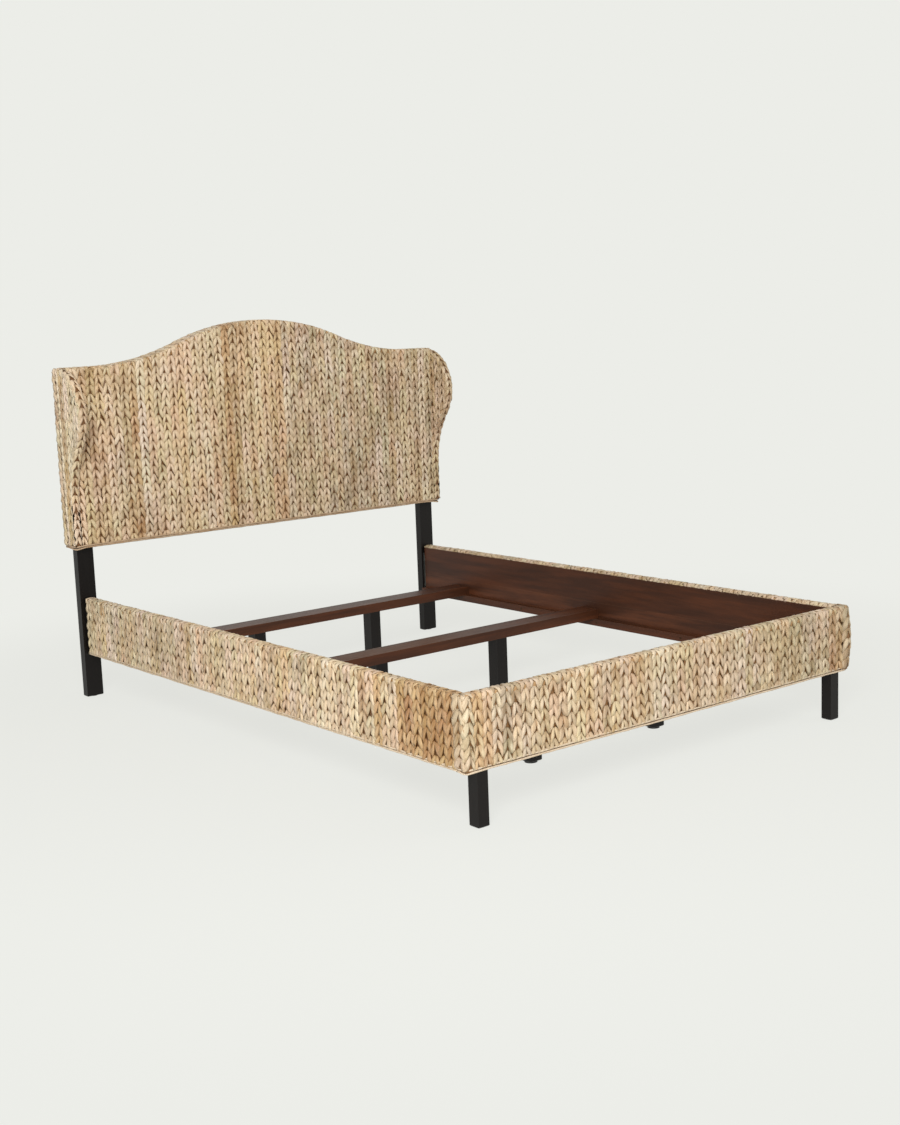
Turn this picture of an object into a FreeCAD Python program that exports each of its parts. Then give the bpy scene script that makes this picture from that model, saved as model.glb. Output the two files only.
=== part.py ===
import FreeCAD, Part
import math
import os

import Sketcher
from FreeCAD import Placement, Rotation, Vector

# Woven queen bed with a winged camel-back headboard, in millimetres.
# +X is to the right seen from the foot, +Y runs from the foot to the headboard and +Z is up.
# The origin lies on the floor under the middle of the whole bed.

# Driving dimensions: alias in the sheet and value
SIZES = {
    # Whole bed
    "bed_length": 2220.0,
    "bed_width": 1630.0,
    "cover_thickness": 10.0,
    "cord_height": 10.0,
    "overrun": 5.0,
    # Side rails and footboard, which share one section
    "rail_top": 373.0,
    "rail_bottom": 162.0,
    "plank_thickness": 31.0,
    "plank_lift": 3.0,
    "lower_plank_height": 84.0,
    "foot_corner_round": 12.0,
    "cleat_height": 26.0,
    "cleat_depth": 22.0,
    # Slats and their support legs
    "slat_width": 89.0,
    "slat_thickness": 35.0,
    "slat_end_clearance": 2.0,
    "first_slat_from_foot": 350.0,
    "last_slat_from_head": 249.0,
    "support_leg_side": 48.0,
    "support_leg_spacing": 538.0,
    "support_leg_shift": 18.0,
    "support_leg_setback": 2.0,
    "leg_chamfer": 2.5,
    # Levelling glides of the support legs
    "glide_height": 5.0,
    "glide_radius": 20.0,
    "glide_gap": 0.3,
    "glide_stem_radius": 4.0,
    "glide_stem_length": 34.0,
    "stem_clearance": 0.3,
    # Front legs and the nailed glides of the main legs
    "front_leg_side": 38.0,
    "front_leg_inset": 45.0,
    "front_leg_setback": 9.0,
    "leg_plate_side": 28.0,
    "nail_glide_height": 1.5,
    "nail_glide_radius": 14.0,
    # Headboard
    "headboard_overhang": 36.0,
    "headboard_bottom": 561.0,
    "shoulder_height": 1212.0,
    "crown_rise": 144.0,
    "shoulder_flat": 97.0,
    "crown_radius": 930.0,
    "panel_thickness": 12.0,
    "back_panel_thickness": 8.0,
    "panel_recess": 4.0,
    "frame_member": 60.0,
    "bottom_rail_height": 50.0,
    "side_stile_thickness": 12.0,
    # Wings of the headboard
    "wing_projection": 110.0,
    "wing_bulge_radius": 170.0,
    "wing_hollow_radius": 350.0,
    "wing_board_thickness": 14.0,
    "wing_edge_round": 8.0,
    # Head legs
    "head_leg_width": 64.0,
    "head_leg_depth": 32.0,
    "head_leg_drop": 62.0,
    # Hook plates that join the rails to the head legs
    "plate_thickness": 4.0,
    "hook_plate_width": 26.0,
    "hook_plate_margin": 29.0,
    "catch_plate_margin": 5.0,
    "hook_thickness": 6.0,
    "hook_height": 26.0,
    "hook_spacing": 70.0,
    "hook_reach": 14.0,
    "hook_clearance": 1.0,
    # Corner brackets between the footboard and the rails
    "bracket_thickness": 4.0,
    "bracket_flange": 60.0,
    "bracket_lift": 5.0,
    "bracket_drop": 27.0,
    # Fasteners
    "bolt_radius": 4.0,
    "bolt_head_radius": 7.5,
    "bolt_head_height": 5.0,
    "corner_bolt_bite": 24.0,
    "stud_radius": 4.0,
    "support_stud_length": 56.0,
    "front_stud_length": 80.0,
    "screw_radius": 2.5,
    "screw_head_radius": 5.0,
    "screw_head_height": 3.0,
    "slat_screw_bite": 20.0,
    "cleat_screw_bite": 25.0,
    "hole_clearance": 0.3,
}
SLAT_NAMES = ("foot", "middle", "head")
SIDES = (("left", -1), ("right", 1))
CLEAT_SCREW_COUNT = 5
HEAD_LEG_BOLT_SHARES = (0.12, 0.5, 0.88)
PAIR_SHARES = (-0.5, 0.5)
COVER_ROUND_SHARE = 0.9
MATCH_SHARE = 1e-5

doc = FreeCAD.newDocument("woven_bed")
sheet = doc.addObject("Spreadsheet::Sheet", "dims")
for row, (alias, value) in enumerate(SIZES.items(), start=1):
    sheet.set("A%d" % row, alias)
    sheet.set("B%d" % row, str(value))
    sheet.setAlias("B%d" % row, alias)
doc.recompute()


class Size:
    """A size that carries its value and the expression on the sheet that it comes from."""

    def __init__(self, text, value):
        self.text = text
        self.value = value

    def __add__(self, other):
        return Size("(%s + %s)" % (self.text, other.text), self.value + other.value)

    def __sub__(self, other):
        return Size("(%s - %s)" % (self.text, other.text), self.value - other.value)

    def __neg__(self):
        return Size("(-1 * %s)" % self.text, -self.value)

    def __mul__(self, factor):
        if isinstance(factor, Size):
            return Size("(%s * %s)" % (self.text, factor.text), self.value * factor.value)
        return Size("(%s * %r)" % (self.text, factor), self.value * factor)

    def __truediv__(self, divisor):
        if isinstance(divisor, Size):
            return Size("(%s / %s)" % (self.text, divisor.text), self.value / divisor.value)
        return Size("(%s / %r)" % (self.text, divisor), self.value / divisor)

    def root(self):
        return Size("sqrt(%s)" % self.text, math.sqrt(self.value))


class Sheet:
    """The driving dimensions by name."""


S = Sheet()
for alias in SIZES:
    setattr(S, alias, Size("dims." + alias, float(sheet.get(alias))))
NONE = Size("0", 0.0)

nodes = []


def keep(solid, label):
    """Make an object a finished sub-part under the name of its file."""
    solid.Label = label
    nodes.append(solid)
    return solid


# Building blocks


def place(solid, x, y, z):
    for axis, size in zip("xyz", (x, y, z)):
        solid.setExpression("Placement.Base." + axis, size.text)


def box(name, x, y, z):
    """A square-edged block between the low and high limits given on each axis."""
    solid = doc.addObject("Part::Box", name)
    for side, (low, high) in zip(("Length", "Width", "Height"), (x, y, z)):
        solid.setExpression(side, (high - low).text)
    place(solid, x[0], y[0], z[0])
    return solid


def rod(name, radius, length, start, direction):
    """A round bar from its start point along a direction."""
    solid = doc.addObject("Part::Cylinder", name)
    solid.setExpression("Radius", radius.text)
    solid.setExpression("Height", length.text)
    solid.Placement = Placement(Vector(), Rotation(Vector(0, 0, 1), Vector(*direction)))
    place(solid, *start)
    return solid


def cut(name, base, tools):
    """The base with every tool taken away."""
    tool = tools[0]
    if len(tools) > 1:
        tool = doc.addObject("Part::MultiFuse", name + "_tools")
        tool.Shapes = tools
    solid = doc.addObject("Part::Cut", name)
    solid.Base = base
    solid.Tool = tool
    return solid


def fuse(name, shapes):
    solid = doc.addObject("Part::MultiFuse", name)
    solid.Shapes = shapes
    return solid


def group(label, solids):
    """Identical pieces that share one file as separate solids."""
    compound = doc.addObject("Part::Compound", label)
    compound.Links = solids
    return keep(compound, label)


def edge_between(start, end, bend):
    """A straight edge, or an arc of radius bend[0] that turns left (+1) or right (-1)."""
    if bend is None:
        return Part.LineSegment(start, end), (1, 2)
    radius, turn = bend[0].value, bend[1]
    chord = end - start
    height = math.sqrt(radius ** 2 - (chord.Length / 2) ** 2)
    square = Vector(-chord.y, chord.x, 0).normalize()
    centre = (start + end) * 0.5 + square * (turn * height)
    angles = [math.atan2(point.y - centre.y, point.x - centre.x) for point in (start, end)]
    circle = Part.Circle(centre, Vector(0, 0, 1), radius)
    if turn > 0:
        return Part.ArcOfCircle(circle, angles[0], angles[1]), (1, 2)
    return Part.ArcOfCircle(circle, angles[1], angles[0]), (2, 1)


def outline(body, plane, corners):
    """A closed sketch through corners (x, y, bend), each place and radius tied to the sheet."""
    sketch = body.newObject("Sketcher::SketchObject", body.Name + "_outline")
    support = next(feature for feature in body.Origin.OriginFeatures if feature.Role == plane)
    sketch.AttachmentSupport = [(support, "")]
    sketch.MapMode = "FlatFace"
    points = [Vector(x.value, y.value, 0) for x, y, bend in corners]
    edges = []
    for index, (x, y, bend) in enumerate(corners):
        shape, ends = edge_between(points[index], points[(index + 1) % len(points)], bend)
        edges.append((sketch.addGeometry(shape, False), ends))
    for index, (x, y, bend) in enumerate(corners):
        geometry, ends = edges[index]
        before, before_ends = edges[index - 1]
        sketch.addConstraint(Sketcher.Constraint("Coincident", before, before_ends[1], geometry, ends[0]))
        for kind, size in (("DistanceX", x), ("DistanceY", y)):
            tie = sketch.addConstraint(Sketcher.Constraint(kind, -1, 1, geometry, ends[0], size.value))
            sketch.setExpression("Constraints[%d]" % tie, size.text)
        if bend is not None:
            tie = sketch.addConstraint(Sketcher.Constraint("Radius", geometry, bend[0].value))
            sketch.setExpression("Constraints[%d]" % tie, bend[0].text)
    return sketch


def plate(name, plane, corners, low, high):
    """A plate with a drawn outline, between low and high along the axis square to its plane."""
    body = doc.addObject("PartDesign::Body", name)
    pad = body.newObject("PartDesign::Pad", name + "_pad")
    pad.Profile = outline(body, plane, corners)
    pad.setExpression("Length", (high - low).text)
    if plane == "XZ_Plane":
        place(body, NONE, high, NONE)
    elif plane == "YZ_Plane":
        place(body, low, NONE, NONE)
    else:
        place(body, NONE, NONE, low)
    return body


def dress(body, kind, size_name, size, wanted):
    """Fillet or chamfer the edges of a plate that the test picks out, in the plate's own frame."""
    doc.recompute()
    base = body.Tip
    names = ["Edge%d" % number for number, edge in enumerate(base.Shape.Edges, start=1) if wanted(edge)]
    feature = body.newObject("PartDesign::" + kind, body.Name + "_" + kind.lower())
    feature.Base = (base, names)
    feature.setExpression(size_name, size.text)
    return body


def near(first, second):
    """True where two measured places are the same, apart from rounding."""
    return abs(first - second) < S.bed_length.value * MATCH_SHARE


def across(sign, inner, outer):
    """Low and high X of a span from inner to outer, on the side of the bed that sign gives."""
    return (inner, outer) if sign > 0 else (-outer, -inner)


def to_side(sign, distance):
    return distance if sign > 0 else -distance


def rectangle(x, y):
    return [(x[0], y[0], None), (x[1], y[0], None), (x[1], y[1], None), (x[0], y[1], None)]


# Shared places

foot_face = -S.bed_length / 2
head_back = S.bed_length / 2
rail_outside = S.bed_width / 2
plank_outside = rail_outside - S.cover_thickness
rail_inside = plank_outside - S.plank_thickness
plank_bottom = S.rail_bottom + S.plank_lift
plank_joint = plank_bottom + S.lower_plank_height
plank_top = S.rail_top - S.cover_thickness
cover_bottom = S.rail_bottom + S.cord_height
cover_round = S.cover_thickness * COVER_ROUND_SHARE
foot_plank_front = foot_face + S.cover_thickness
foot_back = foot_plank_front + S.plank_thickness
cleat_top = plank_bottom + S.cleat_height
slat_top = cleat_top + S.slat_thickness

wing_outside = rail_outside + S.headboard_overhang
wing_board_outside = wing_outside - S.cover_thickness
wing_board_inside = wing_board_outside - S.wing_board_thickness
wing_inside = wing_board_inside - S.cover_thickness
crown_half_run = wing_inside - S.shoulder_flat
frame_back = head_back - S.back_panel_thickness
head_leg_front = frame_back - S.head_leg_depth
frame_front = head_leg_front - S.side_stile_thickness
panel_front = frame_front - S.panel_thickness
panel_cover_front = panel_front - S.cover_thickness
wing_front = panel_cover_front - S.panel_recess
board_bottom = S.headboard_bottom + S.cord_height
board_shoulder = S.shoulder_height - S.cover_thickness

head_leg_outside = wing_board_inside
head_leg_inside = head_leg_outside - S.head_leg_width
head_leg_top = S.shoulder_height - S.head_leg_drop
rail_end = head_leg_front - S.plate_thickness * 2
rail_middle = (rail_inside + plank_outside) / 2
hook_middle = (plank_top + plank_bottom) / 2
first_slat_front = foot_face + S.first_slat_from_foot
last_slat_front = head_back - S.last_slat_from_head - S.slat_width
slat_pitch = (last_slat_front - first_slat_front) / (len(SLAT_NAMES) - 1)
slat_fronts = [first_slat_front + slat_pitch * step for step in range(len(SLAT_NAMES))]
support_middles = [S.support_leg_shift + S.support_leg_spacing * share for share in PAIR_SHARES]


# Outlines of the headboard


def camel_edge(inset):
    """Right-to-left run of the camel-back top, set in from the woven face by inset."""
    square_sum = crown_half_run * crown_half_run + S.crown_rise * S.crown_rise
    square_difference = crown_half_run * crown_half_run - S.crown_rise * S.crown_rise
    crown = S.crown_radius - inset
    hollow = square_sum / (S.crown_rise * 2) - crown
    turn_x = crown * (S.crown_rise * crown_half_run * 2 / square_sum)
    shoulder = S.shoulder_height - inset
    turn_z = shoulder + S.crown_rise - crown + crown * (square_difference / square_sum)
    return [
        (crown_half_run, shoulder, (hollow, -1)),
        (turn_x, turn_z, (crown, 1)),
        (-turn_x, turn_z, (hollow, -1)),
        (-crown_half_run, shoulder, None),
    ]


def camel_outline(inset, half_width, bottom):
    """Headboard outline down to a straight bottom edge."""
    shoulder = S.shoulder_height - inset
    sides = [
        (-half_width, bottom, None),
        (half_width, bottom, None),
        (half_width, shoulder, None),
    ]
    return sides + camel_edge(inset) + [(-half_width, shoulder, None)]


def camel_band(inset, depth, half_width):
    """A band of constant depth under the camel-back top."""
    upper = S.shoulder_height - inset
    lower = upper - depth
    below = camel_edge(inset + depth)
    back_run = []
    for index in range(len(below) - 1, -1, -1):
        bend = below[index - 1][2] if index > 0 else None
        if bend is not None:
            bend = (bend[0], -bend[1])
        back_run.append((below[index][0], below[index][1], bend))
    return (
        [(half_width, lower, None), (half_width, upper, None)]
        + camel_edge(inset)
        + [(-half_width, upper, None), (-half_width, lower, None)]
        + back_run
    )


def wing_outline(inset, back, bottom):
    """Side view of a wing: upright below, then a hollow and a bulge that reaches forward."""
    reach = S.wing_bulge_radius + S.wing_hollow_radius
    level = reach - S.wing_projection
    rise = (reach * reach - level * level).root()
    bulge = S.wing_bulge_radius - inset
    hollow = S.wing_hollow_radius + inset
    centre_y = wing_front - S.wing_projection + S.wing_bulge_radius
    centre_z = S.shoulder_height - S.wing_bulge_radius
    top = S.shoulder_height - inset
    front = wing_front + inset
    return [
        (front, bottom, None),
        (back, bottom, None),
        (back, top, None),
        (centre_y, top, (bulge, 1)),
        (centre_y - bulge * (level / reach), centre_z - bulge * (rise / reach), (hollow, -1)),
        (front, centre_z - rise, None),
    ]


# Fasteners, with the holes that take them


def bolt(name, radius, head_radius, head_height, length, seat, direction):
    """A headed fastener: its head stands on the seat point and its shaft runs along direction."""
    back = [-part for part in direction]
    shaft = rod(name + "_shaft", radius, length, seat, direction)
    head = rod(name + "_head", head_radius, head_height, seat, back)
    return fuse(name, [shaft, head])


def bolt_hole(name, radius, head_radius, head_height, length, seat, direction):
    """The clearance hole of a headed fastener, with a pocket for its head."""
    back = [-part for part in direction]
    gap = S.hole_clearance
    bore = rod(name + "_bore", radius + gap, length + gap, seat, direction)
    pocket = rod(name + "_pocket", head_radius + gap, head_height + gap, seat, back)
    return fuse(name, [bore, pocket])


def bolts_with_holes(name, sizes, seats):
    """Fasteners of one kind at several seats, and their holes, as two lists in the same order."""
    solids = []
    holes = []
    for number, (seat, direction) in enumerate(seats, start=1):
        solids.append(bolt("%s_%d" % (name, number), *sizes, seat, direction))
        holes.append(bolt_hole("%s_hole_%d" % (name, number), *sizes, seat, direction))
    return solids, holes


RIGHT, LEFT = (1, 0, 0), (-1, 0, 0)
BACK, FRONT = (0, 1, 0), (0, -1, 0)
UP, DOWN = (0, 0, 1), (0, 0, -1)

# Head leg bolts run forward through each leg into the stile that packs it out
head_leg_middle = (head_leg_inside + head_leg_outside) / 2
head_leg_bolt_heights = [
    board_bottom + (head_leg_top - board_bottom) * share for share in HEAD_LEG_BOLT_SHARES
]
head_bolt_seat = frame_back - S.bolt_head_height
head_bolt_sizes = (
    S.bolt_radius,
    S.bolt_head_radius,
    S.bolt_head_height,
    head_bolt_seat - frame_front - S.hole_clearance,
)
head_leg_bolts = {}
head_leg_holes = {}
for side, sign in SIDES:
    seats = [
        ((to_side(sign, head_leg_middle), head_bolt_seat, height), FRONT) for height in head_leg_bolt_heights
    ]
    head_leg_bolts[side], head_leg_holes[side] = bolts_with_holes(
        "head_leg_bolt_" + side, head_bolt_sizes, seats
    )

# Corner bolts go through the brackets into the planks of the rails and of the footboard
bracket_bottom = cleat_top + S.bracket_lift
bracket_top = plank_top - S.bracket_drop
bracket_bolt_heights = [(bracket_bottom + plank_joint) / 2, (plank_joint + bracket_top) / 2]
corner_bolt_length = S.bracket_thickness + S.corner_bolt_bite
corner_bolt_sizes = (S.bolt_radius, S.bolt_head_radius, S.bolt_head_height, corner_bolt_length)
bracket_rail_face = rail_inside - S.bracket_thickness
bracket_foot_face = foot_back + S.bracket_thickness
rail_bolts = {}
rail_bolt_holes = {}
foot_bolts = {}
foot_bolt_holes = {}
for side, sign in SIDES:
    outward = RIGHT if sign > 0 else LEFT
    rail_seats = []
    foot_seats = []
    for height in bracket_bolt_heights:
        rail_seats.append(
            ((to_side(sign, bracket_rail_face), foot_back + S.bracket_flange / 2, height), outward)
        )
        foot_seats.append(
            ((to_side(sign, rail_inside - S.bracket_flange / 2), bracket_foot_face, height), FRONT)
        )
    rail_bolts[side], rail_bolt_holes[side] = bolts_with_holes(
        "rail_corner_bolt_" + side, corner_bolt_sizes, rail_seats
    )
    foot_bolts[side], foot_bolt_holes[side] = bolts_with_holes(
        "foot_corner_bolt_" + side, corner_bolt_sizes, foot_seats
    )

# Slat screws go down through the slat ends into the cleats, cleat screws sideways into the planks
slat_half_length = rail_inside - S.slat_end_clearance
slat_screw_x = rail_inside - S.cleat_depth / 2
screw_sizes = (S.screw_radius, S.screw_head_radius, S.screw_head_height)
slat_screw_sizes = (*screw_sizes, S.slat_thickness - S.screw_head_height + S.slat_screw_bite)
cleat_screw_sizes = (*screw_sizes, S.cleat_depth - S.screw_head_height + S.cleat_screw_bite)
slat_screws = {}
slat_screw_holes = {}
cleat_screws = {}
cleat_screw_holes = {}
for side, sign in SIDES:
    outward = RIGHT if sign > 0 else LEFT
    slat_seats = [
        ((to_side(sign, slat_screw_x), front + S.slat_width / 2, slat_top - S.screw_head_height), DOWN)
        for front in slat_fronts
    ]
    slat_screws[side], slat_screw_holes[side] = bolts_with_holes(
        "slat_screw_" + side, slat_screw_sizes, slat_seats
    )
    cleat_seats = []
    for number in range(CLEAT_SCREW_COUNT):
        along = foot_back + (rail_end - foot_back) * ((number + 0.5) / CLEAT_SCREW_COUNT)
        seat_x = rail_inside - S.cleat_depth + S.screw_head_height
        cleat_seats.append(((to_side(sign, seat_x), along, (plank_bottom + cleat_top) / 2), outward))
    cleat_screws[side], cleat_screw_holes[side] = bolts_with_holes(
        "cleat_screw_" + side, cleat_screw_sizes, cleat_seats
    )


# Side rails

for side, sign in SIDES:
    rail_y = (foot_back, rail_end)
    plank_x = across(sign, rail_inside, plank_outside)
    upper = box("upper_blank_" + side, plank_x, rail_y, (plank_joint, plank_top))
    lower = box("lower_blank_" + side, plank_x, rail_y, (plank_bottom, plank_joint))
    holes = rail_bolt_holes[side]
    keep(cut("upper_cut_" + side, upper, [holes[1]]), "rail_upper_plank_" + side)
    lower_holes = [holes[0]] + cleat_screw_holes[side]
    keep(cut("lower_cut_" + side, lower, lower_holes), "rail_lower_plank_" + side)

    cleat_x = across(sign, rail_inside - S.cleat_depth, rail_inside)
    cleat = box("cleat_blank_" + side, cleat_x, rail_y, (plank_bottom, cleat_top))
    cleat_holes = cleat_screw_holes[side] + slat_screw_holes[side]
    keep(cut("cleat_cut_" + side, cleat, cleat_holes), "rail_cleat_" + side)

    inside = to_side(sign, rail_inside)
    outside = to_side(sign, rail_outside)
    board = to_side(sign, plank_outside)
    round_off = to_side(sign, cover_round)
    cover_corners = [
        (board, cover_bottom, None),
        (outside, cover_bottom, None),
        (outside, S.rail_top - cover_round, (cover_round, sign)),
        (outside - round_off, S.rail_top, None),
        (inside + round_off, S.rail_top, (cover_round, sign)),
        (inside, S.rail_top - cover_round, None),
        (inside, plank_top, None),
        (board, plank_top, None),
    ]
    keep(plate("rail_cover_body_" + side, "XZ_Plane", cover_corners, *rail_y), "rail_cover_" + side)
    cord_x = across(sign, plank_outside, rail_outside)
    keep(box("rail_cord_box_" + side, cord_x, rail_y, (S.rail_bottom, cover_bottom)), "rail_cord_" + side)


# Rail hooks and their catch plates on the head legs

hook_levels = [hook_middle + S.hook_spacing * share for share in PAIR_SHARES]
hook_pockets = {}
for side, sign in SIDES:
    middle = to_side(sign, rail_middle)
    half_plate = S.hook_plate_width / 2
    half_catch = half_plate + S.catch_plate_margin
    half_hook = S.hook_thickness / 2
    half_slot = half_hook + S.hook_clearance
    plate_back = rail_end + S.plate_thickness
    plate_z = (plank_bottom + S.hook_plate_margin, plank_top - S.hook_plate_margin)
    plate_x = (middle - half_plate, middle + half_plate)
    shapes = [box("hook_plate_" + side, plate_x, (rail_end, plate_back), plate_z)]
    slots = []
    for number, level in enumerate(hook_levels, start=1):
        hook_x = (middle - half_hook, middle + half_hook)
        hook_y = (plate_back, head_leg_front + S.hook_reach)
        hook_z = (level - S.hook_height / 2, level + S.hook_height / 2)
        shapes.append(box("hook_%s_%d" % (side, number), hook_x, hook_y, hook_z))
        slot_x = (middle - half_slot, middle + half_slot)
        slot_y = (plate_back - S.hook_clearance, head_leg_front + S.hook_reach + S.hook_clearance)
        slot_z = (hook_z[0] - S.hook_clearance, hook_z[1] + S.hook_clearance)
        slots.append(box("hook_slot_%s_%d" % (side, number), slot_x, slot_y, slot_z))
    keep(fuse("rail_hook_fused_" + side, shapes), "rail_hook_plate_" + side)
    catch_x = (middle - half_catch, middle + half_catch)
    catch_z = (plate_z[0] - S.catch_plate_margin, plate_z[1] + S.catch_plate_margin)
    catch = box("catch_blank_" + side, catch_x, (plate_back, head_leg_front), catch_z)
    keep(cut("catch_cut_" + side, catch, slots), "leg_catch_plate_" + side)
    hook_pockets[side] = slots


# Footboard

foot_plank_x = (-plank_outside, plank_outside)
foot_plank_y = (foot_plank_front, foot_back)
front_leg_middle = rail_outside - S.front_leg_inset - S.front_leg_side / 2
front_leg_front = foot_face + S.front_leg_setback
front_leg_y = front_leg_front + S.front_leg_side / 2
front_leg_top = S.rail_bottom
stud_bottom = plank_bottom - S.front_stud_length / 2
front_studs = []
front_stud_holes = []
for side, sign in SIDES:
    start = (to_side(sign, front_leg_middle), front_leg_y, stud_bottom)
    front_studs.append(rod("front_stud_" + side, S.stud_radius, S.front_stud_length, start, UP))
    hole_start = (start[0], start[1], stud_bottom - S.hole_clearance)
    hole_length = S.front_stud_length + S.hole_clearance * 2
    front_stud_holes.append(
        rod("front_stud_hole_" + side, S.stud_radius + S.hole_clearance, hole_length, hole_start, UP)
    )

foot_upper = box("foot_upper_blank", foot_plank_x, foot_plank_y, (plank_joint, plank_top))
foot_lower = box("foot_lower_blank", foot_plank_x, foot_plank_y, (plank_bottom, plank_joint))
keep(
    cut("foot_upper_cut", foot_upper, [foot_bolt_holes["left"][1], foot_bolt_holes["right"][1]]),
    "foot_upper_plank",
)
foot_lower_holes = [foot_bolt_holes["left"][0], foot_bolt_holes["right"][0]] + front_stud_holes
keep(cut("foot_lower_cut", foot_lower, foot_lower_holes), "foot_lower_plank")

foot_block = plate(
    "foot_cover_block",
    "XY_Plane",
    rectangle((-rail_outside, rail_outside), (foot_face, foot_back)),
    cover_bottom,
    S.rail_top,
)


def is_front_upright(edge):
    ends = [vertex.Point for vertex in edge.Vertexes]
    return near(ends[0].y, foot_face.value) and not near(ends[0].z, ends[1].z)


def is_top_outer(edge):
    ends = [vertex.Point for vertex in edge.Vertexes]
    level = S.rail_top.value - cover_bottom.value
    return all(near(end.z, level) for end in ends)


dress(foot_block, "Fillet", "Radius", S.foot_corner_round, is_front_upright)
dress(foot_block, "Fillet", "Radius", cover_round, is_top_outer)
foot_hollow = box(
    "foot_cover_hollow",
    foot_plank_x,
    (foot_plank_front, foot_back + S.overrun),
    (cover_bottom - S.overrun, plank_top),
)
keep(cut("foot_cover_cut", foot_block, [foot_hollow]), "foot_cover")

foot_cord_x = (-rail_outside, rail_outside)
foot_cord_z = (S.rail_bottom, cover_bottom)
foot_cord_runs = [box("foot_cord_front", foot_cord_x, (foot_face, foot_plank_front), foot_cord_z)]
for side, sign in SIDES:
    cord_x = across(sign, plank_outside, rail_outside)
    foot_cord_runs.append(box("foot_cord_end_" + side, cord_x, (foot_plank_front, foot_back), foot_cord_z))
keep(fuse("foot_cord_fused", foot_cord_runs), "foot_cord")


# Legs


def square_leg(name, middle_x, low_y, width, depth, low_z, high_z):
    """An upright leg with eased edges at its lower end."""
    half = width / 2
    corners = rectangle((middle_x - half, middle_x + half), (low_y, low_y + depth))
    leg = plate(name, "XY_Plane", corners, low_z, high_z)

    def is_lower(edge):
        return all(near(vertex.Point.z, 0) for vertex in edge.Vertexes)

    return dress(leg, "Chamfer", "Size", S.leg_chamfer, is_lower)


nail_glides = []
for number, (side, sign) in enumerate(SIDES):
    middle = to_side(sign, front_leg_middle)
    leg = square_leg(
        "front_leg_blank_" + side,
        middle,
        front_leg_front,
        S.front_leg_side,
        S.front_leg_side,
        S.nail_glide_height,
        front_leg_top,
    )
    keep(cut("front_leg_cut_" + side, leg, [front_stud_holes[number]]), "front_leg_" + side)
    centre = (middle, front_leg_y, NONE)
    nail_glides.append(rod("front_glide_" + side, S.nail_glide_radius, S.nail_glide_height, centre, UP))

leg_plates = []
half_leg_plate = S.leg_plate_side / 2
for number, (side, sign) in enumerate(SIDES):
    middle = to_side(sign, front_leg_middle)
    blank = box(
        "leg_plate_blank_" + side,
        (middle - half_leg_plate, middle + half_leg_plate),
        (front_leg_y - half_leg_plate, front_leg_y + half_leg_plate),
        (front_leg_top, plank_bottom),
    )
    leg_plates.append(cut("leg_plate_cut_" + side, blank, [front_stud_holes[number]]))
group("front_leg_plates", leg_plates)
group("front_leg_studs", front_studs)

for side, sign in SIDES:
    middle = to_side(sign, head_leg_middle)
    leg = square_leg(
        "head_leg_blank_" + side,
        middle,
        head_leg_front,
        S.head_leg_width,
        S.head_leg_depth,
        S.nail_glide_height,
        head_leg_top,
    )
    keep(cut("head_leg_cut_" + side, leg, hook_pockets[side] + head_leg_holes[side]), "head_leg_" + side)
    centre = (middle, head_leg_front + S.head_leg_depth / 2, NONE)
    nail_glides.append(rod("head_glide_" + side, S.nail_glide_radius, S.nail_glide_height, centre, UP))
group("main_leg_glides", nail_glides)


# Corner brackets

for side, sign in SIDES:
    bracket_z = (bracket_bottom, bracket_top)
    rail_flange = box(
        "bracket_rail_flange_" + side,
        across(sign, bracket_rail_face, rail_inside),
        (foot_back, foot_back + S.bracket_flange),
        bracket_z,
    )
    foot_flange = box(
        "bracket_foot_flange_" + side,
        across(sign, rail_inside - S.bracket_flange, rail_inside),
        (foot_back, bracket_foot_face),
        bracket_z,
    )
    angle = fuse("bracket_blank_" + side, [rail_flange, foot_flange])
    holes = rail_bolt_holes[side] + foot_bolt_holes[side]
    keep(cut("bracket_cut_" + side, angle, holes), "corner_bracket_" + side)
group("corner_bolts", [solid for side, sign in SIDES for solid in rail_bolts[side] + foot_bolts[side]])


# Slats, support legs and levelling glides

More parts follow.
